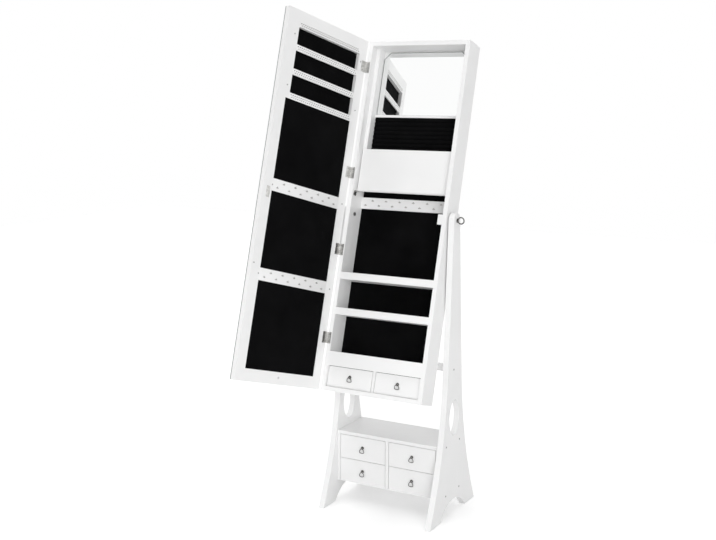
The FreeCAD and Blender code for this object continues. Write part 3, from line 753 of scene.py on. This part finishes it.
    def dress(self, coat: Coat, body: Body | str, *replaced: str) -> None:
        """Paint the piece, hang it on a body and hide the nodes that it stands for.

        Args:
            coat: Its finish.
            body: The body it rides on.
            *replaced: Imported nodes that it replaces.
        """
        rider = body.value if isinstance(body, Body) else body
        self.obj.data.materials.clear()
        self.obj.data.materials.append(coat.material)
        if replaced:
            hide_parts(*replaced)
        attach(self.obj, rider)
        log.info("%s rides on %s, %d faces", self.obj.name, rider, len(self.obj.data.polygons))


def wire_loop(name: str, radius: float, wire: float, gap: float = 0.0,
              sides: int = 12, steps: int = 56) -> Workpiece:
    """Spin a round wire into a loop about the Y axis.

    Args:
        name: Name of the loop.
        radius: Radius to the middle of the wire.
        wire: Radius of the wire.
        gap: Angle in degrees left open at the top, 0 for a closed loop.
        sides: Sides of the wire.
        steps: Steps around the loop.

    Returns:
        The loop, centred on the origin.
    """
    loop = Workpiece.disc(name, wire, sides, (radius, 0, 0), (0, 0, 0))
    if gap == 0.0:
        bpy.ops.mesh.delete(type="ONLY_FACE")
        bpy.ops.mesh.select_all(action="SELECT")
    bpy.ops.mesh.spin(steps=steps, angle=math.radians(360.0 - gap), center=(0, 0, 0),
                      axis=(0, 1, 0))
    loop.close()
    return loop.moved(Matrix.Rotation(math.radians(-90.0 - gap / 2), 4, "Y")).smooth(60.0)


def looking(along: Vector, at: Vector, spin: float = 0.0) -> Matrix:
    """Return the place of a small part that looks along a direction.

    Args:
        along: Direction that its front faces.
        at: Point on the board.
        spin: Turn about that direction in degrees.

    Returns:
        The matrix from the pattern, which looks up, to its place.
    """
    turn = UP.rotation_difference(along).to_matrix().to_4x4()
    return Matrix.Translation(at) @ turn @ Matrix.Rotation(math.radians(spin), 4, "Z")


# ---- Screws ----
@dataclass(frozen=True)
class ScrewHead:
    """A cross-head screw whose head sits just proud of a board."""

    radius: float = 2.6 * MM
    proud: float = 0.35 * MM
    slot_width: float = 0.7 * MM
    rim: float = 0.4
    crown: float = 0.4
    cross: float = 0.6
    floor: float = 0.2
    sides: int = 20

    def make(self, name: str) -> Workpiece:
        """Make one head on the origin that looks along +Z.

        Args:
            name: Name of the screws.

        Returns:
            The head.
        """
        head = Workpiece.rod(name, self.radius, Vector((0, 0, -self.proud)),
                             Vector((0, 0, self.proud)), self.sides)
        head.raise_cap(UP, self.radius * self.rim, self.proud * self.crown)
        reach, half = self.radius * self.cross, self.slot_width / 2
        for x, y in ((reach, half), (half, reach)):
            head.cut(Workpiece.block("cross", Vector((-x, -y, -self.proud * self.floor)),
                                     Vector((x, y, self.proud * 3))))
        return head.smooth(30.0)


@dataclass(frozen=True)
class Screws(Assembly):
    """All the screws of the stand, the door and the hinges, in millimetres."""

    leg_face: float = 213.0
    leg_points: tuple[Pair, ...] = ((-60, 252), (45, 252), (-60, 81), (47, 82), (-9, 507))
    leg_radius: float = 3.1
    door_face: float = -1.5
    door_points: tuple[Pair, ...] = (
        (341, 517), (341, 348), (370, -235), (341, 21), (18, 23),
        (345, -266), (19, -270), (26, 519), (20, 349))
    door_radius: float = 2.3
    hinge_levels: tuple[float, ...] = (507, 136, -130, -432)
    hinge_rise: float = 12.0
    door_leaf: Pair = (12.5, -0.05)
    cabinet_leaf: Pair = (-182.3, -33.45)
    leaf_head: ScrewHead = ScrewHead(1.9 * MM, 0.03 * MM, 0.6 * MM)
    joint: Pair = (2.56, 0.3)
    joint_rises: tuple[float, ...] = (-11.4, -3.8, 3.8, 11.4)

    def drive(self, piece: Workpiece, along: Vector, frame: Matrix, points: Iterable[Triple],
              step: float) -> Workpiece:
        """Drive a screw at each point, each with its cross turned further.

        Args:
            piece: The pattern screw.
            along: Direction that the heads face.
            frame: Matrix of the frame that the points are in.
            points: Where the screws go.
            step: Turn from one cross to the next in degrees.

        Returns:
            All of them as one piece.
        """
        return piece.repeat([frame @ looking(along, mm(*point), step * index)
                             for index, point in enumerate(points)])

    def build(self) -> None:
        """Make every screw and hang it on its body."""
        for side, sign in SIDES:
            head = ScrewHead(self.leg_radius * MM).make(f"leg_screws_{side}")
            self.drive(head, Vector((sign, 0, 0)), Matrix.Identity(4),
                       ((sign * self.leg_face, y, z) for y, z in self.leg_points),
                       step=17.0).dress(self.paints.screw, Body.STAND)
        head = ScrewHead(self.door_radius * MM).make("door_frame_screws")
        self.drive(head, INTO_ROOM, LAYOUT.door(),
                   ((s, self.door_face, v) for s, v in self.door_points),
                   step=23.0).dress(self.paints.screw, Body.DOOR)
        rises = (-self.hinge_rise, 0.0, self.hinge_rise)
        self.drive(self.leaf_head.make("hinge_screws_door"), INTO_ROOM, LAYOUT.door(),
                   ((*self.door_leaf, level + rise) for level in self.hinge_levels
                    for rise in rises), step=31.0).dress(self.paints.screw, Body.DOOR)
        self.drive(self.leaf_head.make("hinge_screws_cabinet"), -INTO_ROOM, LAYOUT.cabinet(),
                   ((*self.cabinet_leaf, level + rise) for level in self.hinge_levels
                    for rise in rises[::2]), step=37.0).dress(self.paints.screw, Body.CABINET)
        self.knuckle_gap_shades()

    def knuckle_gap_shades(self) -> None:
        """Make dark rings of painted shade in the gaps between the knuckles of the hinges."""
        radius, half = self.joint
        joint = Workpiece.rod("hinge_knuckle_joints", radius * MM, mm(0, 0, -half), mm(0, 0, half))
        joint.ease(0.1 * MM)
        places = [LAYOUT.door() @ Matrix.Translation(mm(0, 0, level + rise))
                  for level in self.hinge_levels for rise in self.joint_rises]
        # painted shade: the rings carry the dark hole-shade finish
        dark = replace(self.paints.bore, slot=Slot.NICKEL)
        joint.repeat(places).smooth().dress(dark, Body.CABINET)


# ---- Drawers ----
@dataclass(frozen=True)
class DrawerRow:
    """A left and a right drawer, measured in millimetres on the right one.

    Attributes:
        name: The drawers' name without the side.
        frame: Matrix of the frame that they are measured in.
        pull: Middle of the pull on the front face.
        low: Lowest inner corner of the box.
        high: Highest inner corner of the box.
    """

    name: str
    frame: Matrix
    pull: Triple
    low: Triple
    high: Triple


DRAWER_ROWS = (
    DrawerRow("chest_drawer_lower", Matrix.Identity(4), (95.0, -80.0, 119.25),
              (15.0, -60.0, 89.3), (175.0, 70.0, 143.3)),
    DrawerRow("chest_drawer_upper", Matrix.Identity(4), (95.0, -80.0, 204.25),
              (15.0, -60.0, 161.55), (175.0, 70.0, 215.55)),
    DrawerRow("small_drawer", LAYOUT.cabinet(), (89.25, -21.0, -553.875),
              (14.0, -2.0, -588.7), (164.5, 30.0, -536.7)),
)


def drawers() -> Iterator[tuple[str, float, DrawerRow]]:
    """Yield the name, the sign of X and the row of each drawer."""
    for side, sign in SIDES:
        for row in DRAWER_ROWS:
            yield f"{row.name}_{side}", sign, row


@dataclass(frozen=True)
class RingPulls(Assembly):
    """On each drawer front a rose, an eyed post and a loose ring."""

    reach: float = 6.5 * MM
    rose_radius: float = 5.75 * MM
    rose_depth: float = 1.45 * MM
    rose_rim: float = 0.42
    rose_crown: float = 0.35
    post_radius: float = 2.6 * MM
    bore_radius: float = 1.85 * MM
    ring_radius: float = 9.0 * MM
    wire: float = 1.25 * MM
    roundness: float = 5.0
    softness: float = 0.5
    flats: tuple[Pair, ...] = (
        (math.radians(60), 5.17 * MM), (math.radians(-60), 5.17 * MM), (math.pi, 7.0 * MM))

    def bail(self, ring: Workpiece) -> None:
        """Press the round ring into a soft triangle that stands on its broad side.

        Args:
            ring: The ring, centred on the origin.
        """
        for vertex in ring.obj.data.vertices:
            x, z = vertex.co.x, vertex.co.z
            turn, radius = math.atan2(x, z), math.hypot(x, z)
            sides = sum((max(0.0, math.cos(turn - way)) / reach) ** self.roundness
                        for way, reach in self.flats)
            middle = sides ** (-1.0 / self.roundness)
            middle += self.softness * (self.ring_radius - middle)
            wanted = middle + radius - self.ring_radius
            vertex.co.x, vertex.co.z = x * wanted / radius, z * wanted / radius

    def build(self) -> None:
        """Make all six pulls."""
        for drawer, sign, row in drawers():
            x, y, z = row.pull
            self.pull(drawer, mm(sign * x, y, z), row.frame)

    def pull(self, drawer: str, face: Vector, frame: Matrix) -> None:
        """Make the fixed rose and post, and the ring that hangs in it.

        Args:
            drawer: The drawer's name.
            face: Middle of the pull on the drawer's front face.
            frame: Matrix of the drawer's frame.
        """
        out = -INTO_ROOM
        rose = Workpiece.rod(drawer + "_pull_plate", self.rose_radius, face,
                             face + out * self.rose_depth, sides=40)
        rose.raise_cap(out, self.rose_radius * self.rose_rim, self.rose_depth * self.rose_crown)
        rose.ease(0.25 * MM)
        post = Workpiece.rod("post", self.post_radius, face,
                             face + out * (self.reach + self.post_radius))
        post.ease(0.7 * MM, 3)
        bore = face + out * self.reach
        side = Vector((1, 0, 0)) * self.post_radius * 2
        post.cut(Workpiece.rod("bore", self.bore_radius, bore - side, bore + side, sides=20))
        rose.join([post]).smooth(40.0).moved(frame).dress(self.paints.pull, drawer)
        ring = wire_loop(drawer + "_pull_ring", self.ring_radius, self.wire, gap=2.0)
        self.bail(ring)
        ring.moved(Matrix.Translation(frame @ bore - Vector((0, 0, self.ring_radius))))
        ring.dress(self.paints.pull, drawer + "_pull", drawer + "_ring")


@dataclass(frozen=True)
class DrawerLiners(Assembly):
    """In each drawer a tray covered with velvet, in millimetres."""

    gap: float = 0.15
    wall: float = 1.6
    below_rim: float = 3.0

    def build(self) -> None:
        """Make all six liners: blocks hollowed from above, with eased rims."""
        inset = Vector((self.gap, self.gap, 0))
        top = Vector((0, 0, self.below_rim))
        for drawer, sign, row in drawers():
            near, far = sorted((sign * row.low[0], sign * row.high[0]))
            low, high = Vector((near, *row.low[1:])), Vector((far, *row.high[1:]))
            liner = Workpiece.block(drawer + "_liner", (low + inset) * MM,
                                    (high - inset - top) * MM)
            depth = (high.z - low.z - self.below_rim - self.wall) * MM
            liner.pick(lambda face: face.normal.z > FACING)
            bpy.ops.mesh.inset(thickness=self.wall * MM, depth=0.0)
            bpy.ops.mesh.extrude_region_move(TRANSFORM_OT_translate={"value": (0, 0, -depth)})
            liner.leave()
            liner.ease(0.5 * MM, 3).smooth(50.0).moved(row.frame).dress(self.paints.velvet, drawer)


@dataclass(frozen=True)
class GapShadeStrips(Assembly):
    """Black velvet strips in the gaps above the drawers, standing for the gaps' shade as painted
    shade, in millimetres.
    """

    chest: tuple[Triple, Triple] = ((7.0, -67.6, 241.8), (183.0, -66.4, 242.98))
    small: tuple[Triple, Triple] = ((6.0, -19.9, -524.2), (173.0, -18.7, -500.0))

    def build(self) -> None:
        """Make the strips of the chest and of the cabinet, a right and a left one each."""
        for name, (low, high), frame, body in (
                ("chest_dust_strips", self.chest, Matrix.Identity(4), Body.STAND),
                ("small_drawer_dust_strips", self.small, LAYOUT.cabinet(), Body.CABINET)):
            right = Workpiece.block(name, mm(*low), mm(*high))
            left = Workpiece.block("left", mm(-high[0], *low[1:]), mm(-low[0], *high[1:]))
            right.join([left]).ease(0.25 * MM).smooth(40.0).moved(frame)
            # painted shade: the strips carry the black velvet finish
            right.dress(self.paints.velvet, body)


# ---- Eye bolts ----
@dataclass(frozen=True)
class EyeBolts(Assembly):
    """The two eye bolts on the tilt axis, in millimetres from the middle of the stand."""

    leg_face: float = 213.0
    tail: float = 171.0
    head: float = 214.0
    shank: float = 4.0
    collar: float = 7.0
    collar_depth: float = 3.0
    neck: float = 3.1
    neck_span: Pair = (2.0, 4.4)
    eye: float = 10.5
    wire: float = 2.1
    nut: float = 6.4
    nut_span: Pair = (169.5, 173.4)
    tail_cap: Pair = (1.2 * MM, -0.5 * MM)
    collar_cap: Pair = (1.6 * MM, -0.3 * MM)
    nut_cap: Pair = (1.4 * MM, -0.5 * MM)

    def build(self) -> None:
        """Make both bolts."""
        for (side, sign), body in zip(SIDES, (Body.BOLT_LEFT, Body.BOLT_RIGHT)):
            self.bolt(side, sign, body)

    def bolt(self, side: str, sign: float, body: Body) -> None:
        """Make one bolt: a shank with a pointed tail and a nut, a stepped collar and an eye.

        Args:
            side: Name of the side.
            sign: Sign of X on that side.
            body: The body that it is.
        """
        def at(x: float) -> Vector:
            """Return the point of the axis at a distance from the middle."""
            return Vector((sign * x * MM, 0, LAYOUT.pivot_height))

        def bar(name: str, radius: float, start: float, end: float, sides: int) -> Workpiece:
            """Return a bar along the axis, from one distance to another."""
            return Workpiece.rod(name, radius * MM, at(start), at(end), sides)

        outward = Vector((sign, 0, 0))
        shank = bar(f"eye_bolt_{side}_forged", self.shank, self.tail, self.head, 28)
        shank.raise_cap(-outward, *self.tail_cap)
        collar = bar("collar", self.collar, self.leg_face, self.leg_face + self.collar_depth, 40)
        collar.raise_cap(outward, *self.collar_cap)
        collar.ease(0.4 * MM, 3)
        neck = bar("neck", self.neck, *(self.leg_face + end for end in self.neck_span), 28)
        neck.ease(0.8 * MM, 3)
        nut = bar(f"bolt_nut_{side}", self.nut, *self.nut_span, 6)
        nut.raise_cap(-outward, *self.nut_cap)
        nut.ease(0.35 * MM).smooth(30.0).dress(self.paints.screw, body)
        eye = wire_loop("eye", self.eye * MM, self.wire * MM, sides=16, steps=64)
        eye.moved(Matrix.Translation(at(self.leg_face + self.collar_depth + self.eye)))
        shank.join([collar, neck, eye]).smooth(40.0)
        shank.dress(self.paints.pull, body, f"eye_bolt_{side}")


# ---- Hooks ----
@dataclass(frozen=True)
class HookRow:
    """A staggered row of bent wire hooks along a rail, in millimetres.

    Attributes:
        low: Start of the rail.
        high: End of the rail.
        face: Where the rail's face is.
        underside: Lower edge of the rail.
        turn: Turn of the hooks, which point along +Y at 0.
        pitch: Distance from one hook to the next.
        levels: Heights of the hooks above the lower edge, by turns.
    """

    low: float
    high: float
    face: float
    underside: float
    turn: float = 0.0
    pitch: float = 26.0
    levels: Pair = (12.0, 28.0)

    def places(self, frame: Matrix) -> list[Matrix]:
        """Space the hooks evenly.

        Args:
            frame: Matrix of the rail's frame.

        Returns:
            The place of each hook.
        """
        count = int((self.high - self.low) / self.pitch)
        start = self.low + (self.high - self.low - (count - 1) * self.pitch) / 2
        turn = Matrix.Rotation(self.turn, 4, "Z")
        return [frame @ Matrix.Translation(mm(start + index * self.pitch, self.face,
                                              self.underside + self.levels[index % 2])) @ turn
                for index in range(count)]


@dataclass(frozen=True)
class Hooks(Assembly):
    """The hooks of the cabinet's rail and of the door's two rails."""

    wire: float = 0.9 * MM
    reach: float = 7.0 * MM
    bend: float = 2.2 * MM
    rise: float = 4.0 * MM
    plate_radius: float = wire * 2.3
    plate_depth: float = 0.6 * MM
    plate_cap: Pair = (wire * 0.5, 0.3 * MM)
    plate_stretch: float = 2.6
    cabinet_row: HookRow = HookRow(-173.5, 173.5, 40.0, 27.0, math.pi)
    door_rows: tuple[HookRow, ...] = (HookRow(37.0, 341.0, -1.5, 2.0),
                                      HookRow(37.0, 341.0, -1.5, -287.0))

    def pattern(self, name: str) -> Workpiece:
        """Make one hook that points along +Y: a shank, a bend, a tip and an oval plate.

        Args:
            name: Name of the hooks.

        Returns:
            The hook.
        """
        hook = Workpiece.disc(name, self.wire, 8, (0, 0, 0), (math.pi / 2, 0, 0))
        straight = self.reach - self.wire - self.bend
        bpy.ops.mesh.extrude_region_move(TRANSFORM_OT_translate={"value": (0, straight, 0)})
        bpy.ops.mesh.spin(steps=6, angle=math.radians(90), center=(0, straight, self.bend),
                          axis=(1, 0, 0))
        tip = self.rise - self.bend
        bpy.ops.mesh.extrude_region_move(TRANSFORM_OT_translate={"value": (0, 0, tip)})
        hook.close()
        plate = Workpiece.rod("plate", self.plate_radius, Vector((0, 0, 0)),
                              Vector((0, self.plate_depth, 0)), sides=16)
        plate.raise_cap(INTO_ROOM, *self.plate_cap)
        plate.moved(Matrix.Diagonal((self.plate_stretch, 1.0, 1.0, 1.0)))
        return hook.join([plate]).smooth(50.0)

    def build(self) -> None:
        """Make the hooks of every rail."""
        coat = self.paints.hook
        places = self.cabinet_row.places(LAYOUT.cabinet())
        hooks = self.pattern("cabinet_hooks").repeat(places)
        hooks.dress(coat, Body.CABINET, "hook_rail_hooks")
        places = [place for row in self.door_rows for place in row.places(LAYOUT.door())]
        self.pattern("door_hook_wires").repeat(places).dress(coat, Body.DOOR, "door_hooks")


# ---- Door ----
@dataclass(frozen=True)
class DoorBars(Assembly):
    """The three drilled earring bars and the two hook rails of the door, in millimetres."""

    near: float = 37.0
    far_bar: float = 326.0
    far_rail: float = 341.0
    face: float = -1.5
    bar_back: float = -7.5
    rail_back: float = -15.5
    bar_levels: tuple[float, ...] = (307.0, 387.0, 467.0)
    bar_height: float = 20.0
    rail_levels: tuple[float, ...] = (2.0, -287.0)
    rail_height: float = 40.0
    rounding: float = 0.7
    end_gap: float = 7.0
    hole: float = 1.7
    hole_pitch: float = 9.0
    hole_rows: tuple[Pair, ...] = ((6.4, 0.0), (13.6, 4.5))
    shaded_wall_area: Pair = (1.5, 10.0)
    shaded_wall_lean: float = 0.5
    top_hole: float = 1.9
    top_hole_span: Pair = (-0.3, 0.12)
    top_hole_cap: Pair = (0.4 * MM, -0.06 * MM)
    top_hole_rows: tuple[Pair, ...] = ((551.0, 0.0), (557.5, 4.5))
    bumper: Pair = (194.0, -586.0)
    bumper_radius: float = 4.0
    bumper_span: Pair = (-0.1, 0.9)

    def row(self, start: float) -> list[float]:
        """Space a row of holes along a bar.

        Args:
            start: How much later than the first row it begins.

        Returns:
            The middle of each hole.
        """
        first = self.near + self.end_gap + start
        count = int((self.far_bar - self.end_gap - first) / self.hole_pitch) + 1
        return [first + index * self.hole_pitch for index in range(count)]

    def board(self, back: float, level: float, far: float, height: float) -> Workpiece:
        """Make a bar or a rail with rounded edges.

        Args:
            back: Where its back is.
            level: Its lower edge.
            far: Where it ends.
            height: Its height.

        Returns:
            The board.
        """
        board = Workpiece.block("board", mm(self.near, back, level),
                                mm(far, self.face, level + height))
        return board.ease(self.rounding * MM)

    def bar(self, level: float) -> Workpiece:
        """Make a bar with two staggered rows of real holes.

        Args:
            level: Its lower edge.

        Returns:
            The bar.
        """
        drill = Workpiece.rod("drill", self.hole * MM, mm(0, self.bar_back - 1, 0),
                              mm(0, self.face + 1, 0), sides=10)
        places = [Matrix.Translation(mm(s, 0, level + rise))
                  for rise, start in self.hole_rows for s in self.row(start)]
        return self.board(self.bar_back, level, self.far_bar,
                          self.bar_height).cut(drill.repeat(places))

    def build(self) -> None:
        """Make the bars and rails with painted shade on the walls of their holes, dark discs of
        painted shade for the holes along the top rail, and the bumper.
        """
        pieces = [self.bar(level) for level in self.bar_levels]
        pieces += [self.board(self.rail_back, level, self.far_rail, self.rail_height)
                   for level in self.rail_levels]
        pieces[0].obj.name = "door_bars_drilled"
        whole = pieces[0].join(pieces[1:]).smooth(30.0).moved(LAYOUT.door())
        whole.dress(self.paints.lacquer, Body.DOOR, "door_bars")
        # Painted shade: the walls of the drilled holes get the dark hole-shade finish.
        out = LAYOUT.door().to_3x3() @ INTO_ROOM
        least, most = self.shaded_wall_area
        whole.mark(self.paints.bore, lambda face: abs(face.normal.dot(out)) < self.shaded_wall_lean
                   and least < face.area / MM ** 2 < most)
        # Painted shade: thin dark discs stand for the holes along the top rail.
        low, high = self.top_hole_span
        shade_disc = Workpiece.rod("top_rail_holes", self.top_hole * MM, mm(0, 0, low),
                               mm(0, 0, high), sides=14)
        shade_disc.raise_cap(UP, *self.top_hole_cap)
        shade_disc.repeat([LAYOUT.door() @ looking(INTO_ROOM, mm(s, self.face, level))
                       for level, start in self.top_hole_rows
                       for s in self.row(start)]).dress(self.paints.bore, Body.DOOR)
        low, high = self.bumper_span
        pad = Workpiece.rod("door_bumper", self.bumper_radius * MM, mm(0, 0, low), mm(0, 0, high))
        place = looking(INTO_ROOM, mm(self.bumper[0], self.face, self.bumper[1]))
        pad.ease(0.4 * MM, 3).moved(LAYOUT.door() @ place).smooth()
        pad.dress(self.paints.bumper, Body.DOOR)


@dataclass(frozen=True)
class GlassEdges(Assembly):
    """The ground edges that show around the two mirrors, in millimetres."""

    proud: float = 0.12
    corner: float = 23.0
    door_glass: tuple[Triple, Triple] = ((2.5, -21.6, -608.0), (379.5, -18.6, 598.0))
    door_width: float = 1.8
    inner_glass: tuple[Triple, Triple] = ((-158.0, 32.85, 356.0), (158.0, 35.9, 579.0))
    inner_width: float = 2.2

    def band(self, name: str, glass: tuple[Triple, Triple], width: float,
             corner: float = 0.0) -> Workpiece:
        """Make a thin band around a glass that lies square to Y.

        Args:
            name: Name of the band.
            glass: Lowest and highest corner of the glass.
            width: Width of the band, seen from the front.
            corner: Length cut off the two upper corners.

        Returns:
            The band.
        """
        grow = Vector((self.proud, 0, self.proud))
        low, high = (Vector(end) for end in glass)
        band = Workpiece.block(name, (low - grow) * MM, (high + grow) * MM)
        if corner:
            band.pick(lambda edge: all(end.co.z > high.z * MM - HAIR for end in edge.verts)
                      and abs(edge.verts[0].co.y - edge.verts[1].co.y) > HAIR, Element.EDGE)
            bpy.ops.mesh.bevel(offset=corner * MM, segments=1)
            band.leave()
        band.pick(lambda face: abs(face.normal.y) > FACING)
        bpy.ops.mesh.delete(type="FACE")
        band.leave()
        return band.modify("SOLIDIFY", thickness=width * MM, offset=-1.0)

    def build(self) -> None:
        """Make the edges of the door's mirror and of the inner mirror."""
        outer = self.band("door_mirror_edge", self.door_glass, self.door_width)
        outer.moved(LAYOUT.door()).dress(self.paints.glass_rim, Body.DOOR)
        inner = self.band("inner_mirror_edge", self.inner_glass, self.inner_width, self.corner)
        inner.moved(LAYOUT.cabinet()).dress(self.paints.glass_rim, Body.CABINET)


# ---- Ring pad ----
@dataclass(frozen=True)
class RingPad(Assembly):
    """Ten velvet-covered foam rolls that grip rings between them, in millimetres."""

    half_width: float = 159.7
    bottom: float = 198.0
    pitch: float = 15.0
    count: int = 10
    front: float = 29.0
    middle: float = 33.2
    back: float = 35.9
    roll_half: float = 7.55
    end_rounding: float = 1.6
    cuts: int = 34
    board_front: float = 34.6
    board_inset: float = 0.3
    unevenness: Pair = (30.0, 0.7)

    def roll(self) -> Workpiece:
        """Make one roll: a bar with rounded ends, fuller in front than behind.

        Returns:
            The roll, centred on the origin.
        """
        end = mm(self.half_width, 0, 0)
        roll = Workpiece.rod("ring_roll", self.roll_half * MM, -end, end, sides=28)
        roll.pick(lambda edge: abs(edge.verts[0].co.x - edge.verts[1].co.x) > end.x, Element.EDGE)
        bpy.ops.mesh.subdivide(number_cuts=self.cuts)
        roll.leave()
        roll.ease(self.end_rounding * MM, 3)
        for vertex in roll.obj.data.vertices:
            depth = self.middle - self.front if vertex.co.y < 0 else self.back - self.middle
            vertex.co.y = vertex.co.y * depth / self.roll_half
        return roll

    def build(self) -> None:
        """Make the whole pad with the small unevenness of soft foam."""
        pad = self.roll().repeat([
            Matrix.Translation(mm(0, self.middle, self.bottom + self.pitch * (row + 0.5)))
            for row in range(self.count)])
        inset = self.board_inset
        top = self.bottom + self.pitch * self.count - inset
        board = Workpiece.block("ring_pad_board", mm(-self.half_width, self.board_front,
                                                     self.bottom + inset),
                                mm(self.half_width, self.back, top))
        pad.join([board.ease(inset * MM)])
        pad.obj.name = "ring_pad_rolls"
        size, depth = self.unevenness
        clouds = bpy.data.textures.new("foam_unevenness", "CLOUDS")
        clouds.noise_scale = size * MM
        pad.modify("DISPLACE", texture=clouds, texture_coords="LOCAL", strength=depth * MM,
                   mid_level=0.75)
        pad.smooth(60.0).moved(LAYOUT.cabinet()).dress(self.paints.foam, Body.CABINET, "ring_pad")


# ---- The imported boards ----
@dataclass(frozen=True)
class PackedNodes(Assembly):
    """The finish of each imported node's kind, white lacquer where no other is named."""

    velvet: tuple[str, ...] = ("back_lining", "door_linings")
    foam: tuple[str, ...] = ("ring_pad",)
    mirror: tuple[str, ...] = ("inner_mirror", "door_mirror")
    nickel: tuple[str, ...] = (
        "hinge_leaves_cabinet", "hinge_leaves_door", "strike_plate", "tray_stops",
        "hook_rail_hooks", "door_hooks", "eye_bolt_left", "eye_bolt_right",
        *(name + "_ring" for name, _, _ in drawers()))

    def paint(self, nodes: dict[str, bpy.types.Object]) -> None:
        """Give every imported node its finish.

        Args:
            nodes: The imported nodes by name.
        """
        paints = self.paints
        kinds = ((self.velvet, paints.velvet), (self.foam, paints.foam),
                 (self.mirror, paints.mirror), (self.nickel, paints.nickel))
        coats = {name: coat for names, coat in kinds for name in names}
        for name, node in nodes.items():
            node.data.materials.clear()
            node.data.materials.append(coats.get(name, paints.lacquer).material)
        log.info("painted %d packed nodes", len(nodes))


# ---- Studio ----
@dataclass(frozen=True)
class Lamp:
    """A broad, far soft light, even over the cabinet and the floor.

    Attributes:
        name: Name of the lamp.
        at: Where it stands; for a far light only the direction counts.
        level: How bright it makes a white board that faces it, 1 for full white.
        spread: Angle across a far light in degrees, which softens the shadows.
        target: The point it looks at.
    """

    name: str
    at: Triple
    level: float
    spread: float = 50.0
    target: Triple = (0.0, 0.0, 0.0)

    def light(self) -> bpy.types.Light:
        """Make the light itself.

        Returns:
            The light.
        """
        light = bpy.data.lights.new(self.name, "SUN")
        light.energy = self.level * math.pi
        light.angle = math.radians(self.spread)
        return light

    def build(self) -> None:
        """Put the lamp up where no reflection shows it."""
        obj = bpy.data.objects.new(self.name, self.light())
        bpy.context.scene.collection.objects.link(obj)
        way = Vector(self.at) - Vector(self.target)
        obj.location = self.at
        obj.rotation_euler = way.to_track_quat("Z", "Y").to_euler()
        obj.visible_glossy = obj.visible_camera = False
        log.info("%s at %.2f of full white", self.name, self.level)


@dataclass(frozen=True)
class SoftBox(Lamp):
    """A soft box that reaches under the boards and into the cabinet, in metres."""

    width: float = 2.4
    height: float = 0.6

    def light(self) -> bpy.types.Light:
        """Make the box's light, whose level counts at the target.

        Returns:
            The light.
        """
        light = bpy.data.lights.new(self.name, "AREA")
        light.shape = "RECTANGLE"
        light.size = self.width
        light.size_y = self.height
        way = Vector(self.target) - Vector(self.at)
        light.energy = self.level * math.pi ** 2 * way.length_squared
        return light


@dataclass(frozen=True)
class Studio:
    """A white floor and surround, soft lamps, and the camera of the photograph."""

    ambient: float = 0.44
    floor_size: float = 14.0
    floor_level: float = -0.0005
    floor_tone: float = 0.80
    floor_glow: float = 0.33
    camera_at: Triple = (1.658, -3.2244, 1.437)
    camera_yaw: float = math.radians(29.39)
    camera_pitch: float = math.radians(9.60)
    focal_pixels: float = 1087.4
    photo_width: float = 716.0
    lamps: tuple[Lamp, ...] = (
        Lamp("camera_side_light", (0.60, -0.80, 0.22), 0.45, 40.0),
        Lamp("top_light", (-0.10, -0.15, 1.0), 0.36),
        Lamp("back_light", (-0.90, 0.90, 0.30), 0.28),
        SoftBox("low_box", (0.5, -1.7, 0.03), 0.11, target=(0.0, 0.25, 1.7)),
    )

    def build(self) -> None:
        """Set up the whole studio."""
        bpy.context.scene.view_settings.view_transform = "Standard"
        self.surround()
        self.floor()
        self.camera()
        for lamp in self.lamps:
            lamp.build()

    def surround(self) -> None:
        """Make the world white to the eye and softer as a light."""
        world = bpy.data.worlds.new("white_surround")
        bpy.context.scene.world = world
        nodes = Nodes(world)
        white = (1.0, 1.0, 1.0, 1.0)
        light = nodes.add("Background", white, self.ambient)
        seen = nodes.add("Background", white, 1.0)
        nodes.add("OutputWorld", nodes.add("MixShader", nodes.seen_rays(), light, seen))

    def floor(self) -> None:
        """Lay a pale floor that keeps the cabinet's shadow."""
        deselect()
        bpy.ops.mesh.primitive_plane_add(size=self.floor_size, location=(0, 0, self.floor_level))
        floor = Workpiece(bpy.context.object, "studio_floor").obj
        material = bpy.data.materials.new("white_studio_floor")
        nodes = Nodes(material)
        matt = nodes.add("BsdfDiffuse", (self.floor_tone, self.floor_tone, self.floor_tone, 1.0))
        strength = nodes.reckon("MULTIPLY", nodes.seen_rays(), self.floor_glow)
        glow = nodes.add("Emission", Strength=strength)
        nodes.add("OutputMaterial", nodes.add("AddShader", matt, glow))
        floor.data.materials.append(material)

    def camera(self) -> None:
        """Stand the camera where the photograph was taken."""
        lens = bpy.data.cameras.new("photo_camera")
        lens.sensor_fit = "HORIZONTAL"
        lens.sensor_width = 36.0
        lens.lens = self.focal_pixels * lens.sensor_width / self.photo_width
        lens.clip_start = 0.05
        obj = bpy.data.objects.new("photo_camera", lens)
        bpy.context.scene.collection.objects.link(obj)
        obj.location = self.camera_at
        obj.rotation_euler = (math.pi / 2 - self.camera_pitch, 0.0, self.camera_yaw)
        bpy.context.scene.camera = obj


def main() -> None:
    """Build the dressed cabinet and its studio."""
    logging.basicConfig(level=logging.INFO, format="%(name)s: %(message)s")
    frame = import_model()
    Studio().build()
    paints = Paints()
    PackedNodes(paints).paint(frame["nodes"])
    for assembly in (RingPad, DoorBars, Hooks, RingPulls, EyeBolts, Screws, GlassEdges,
                     DrawerLiners, GapShadeStrips):
        assembly(paints).build()
        log.info("%s done", assembly.__name__)


if __name__ == "__main__":
    main()
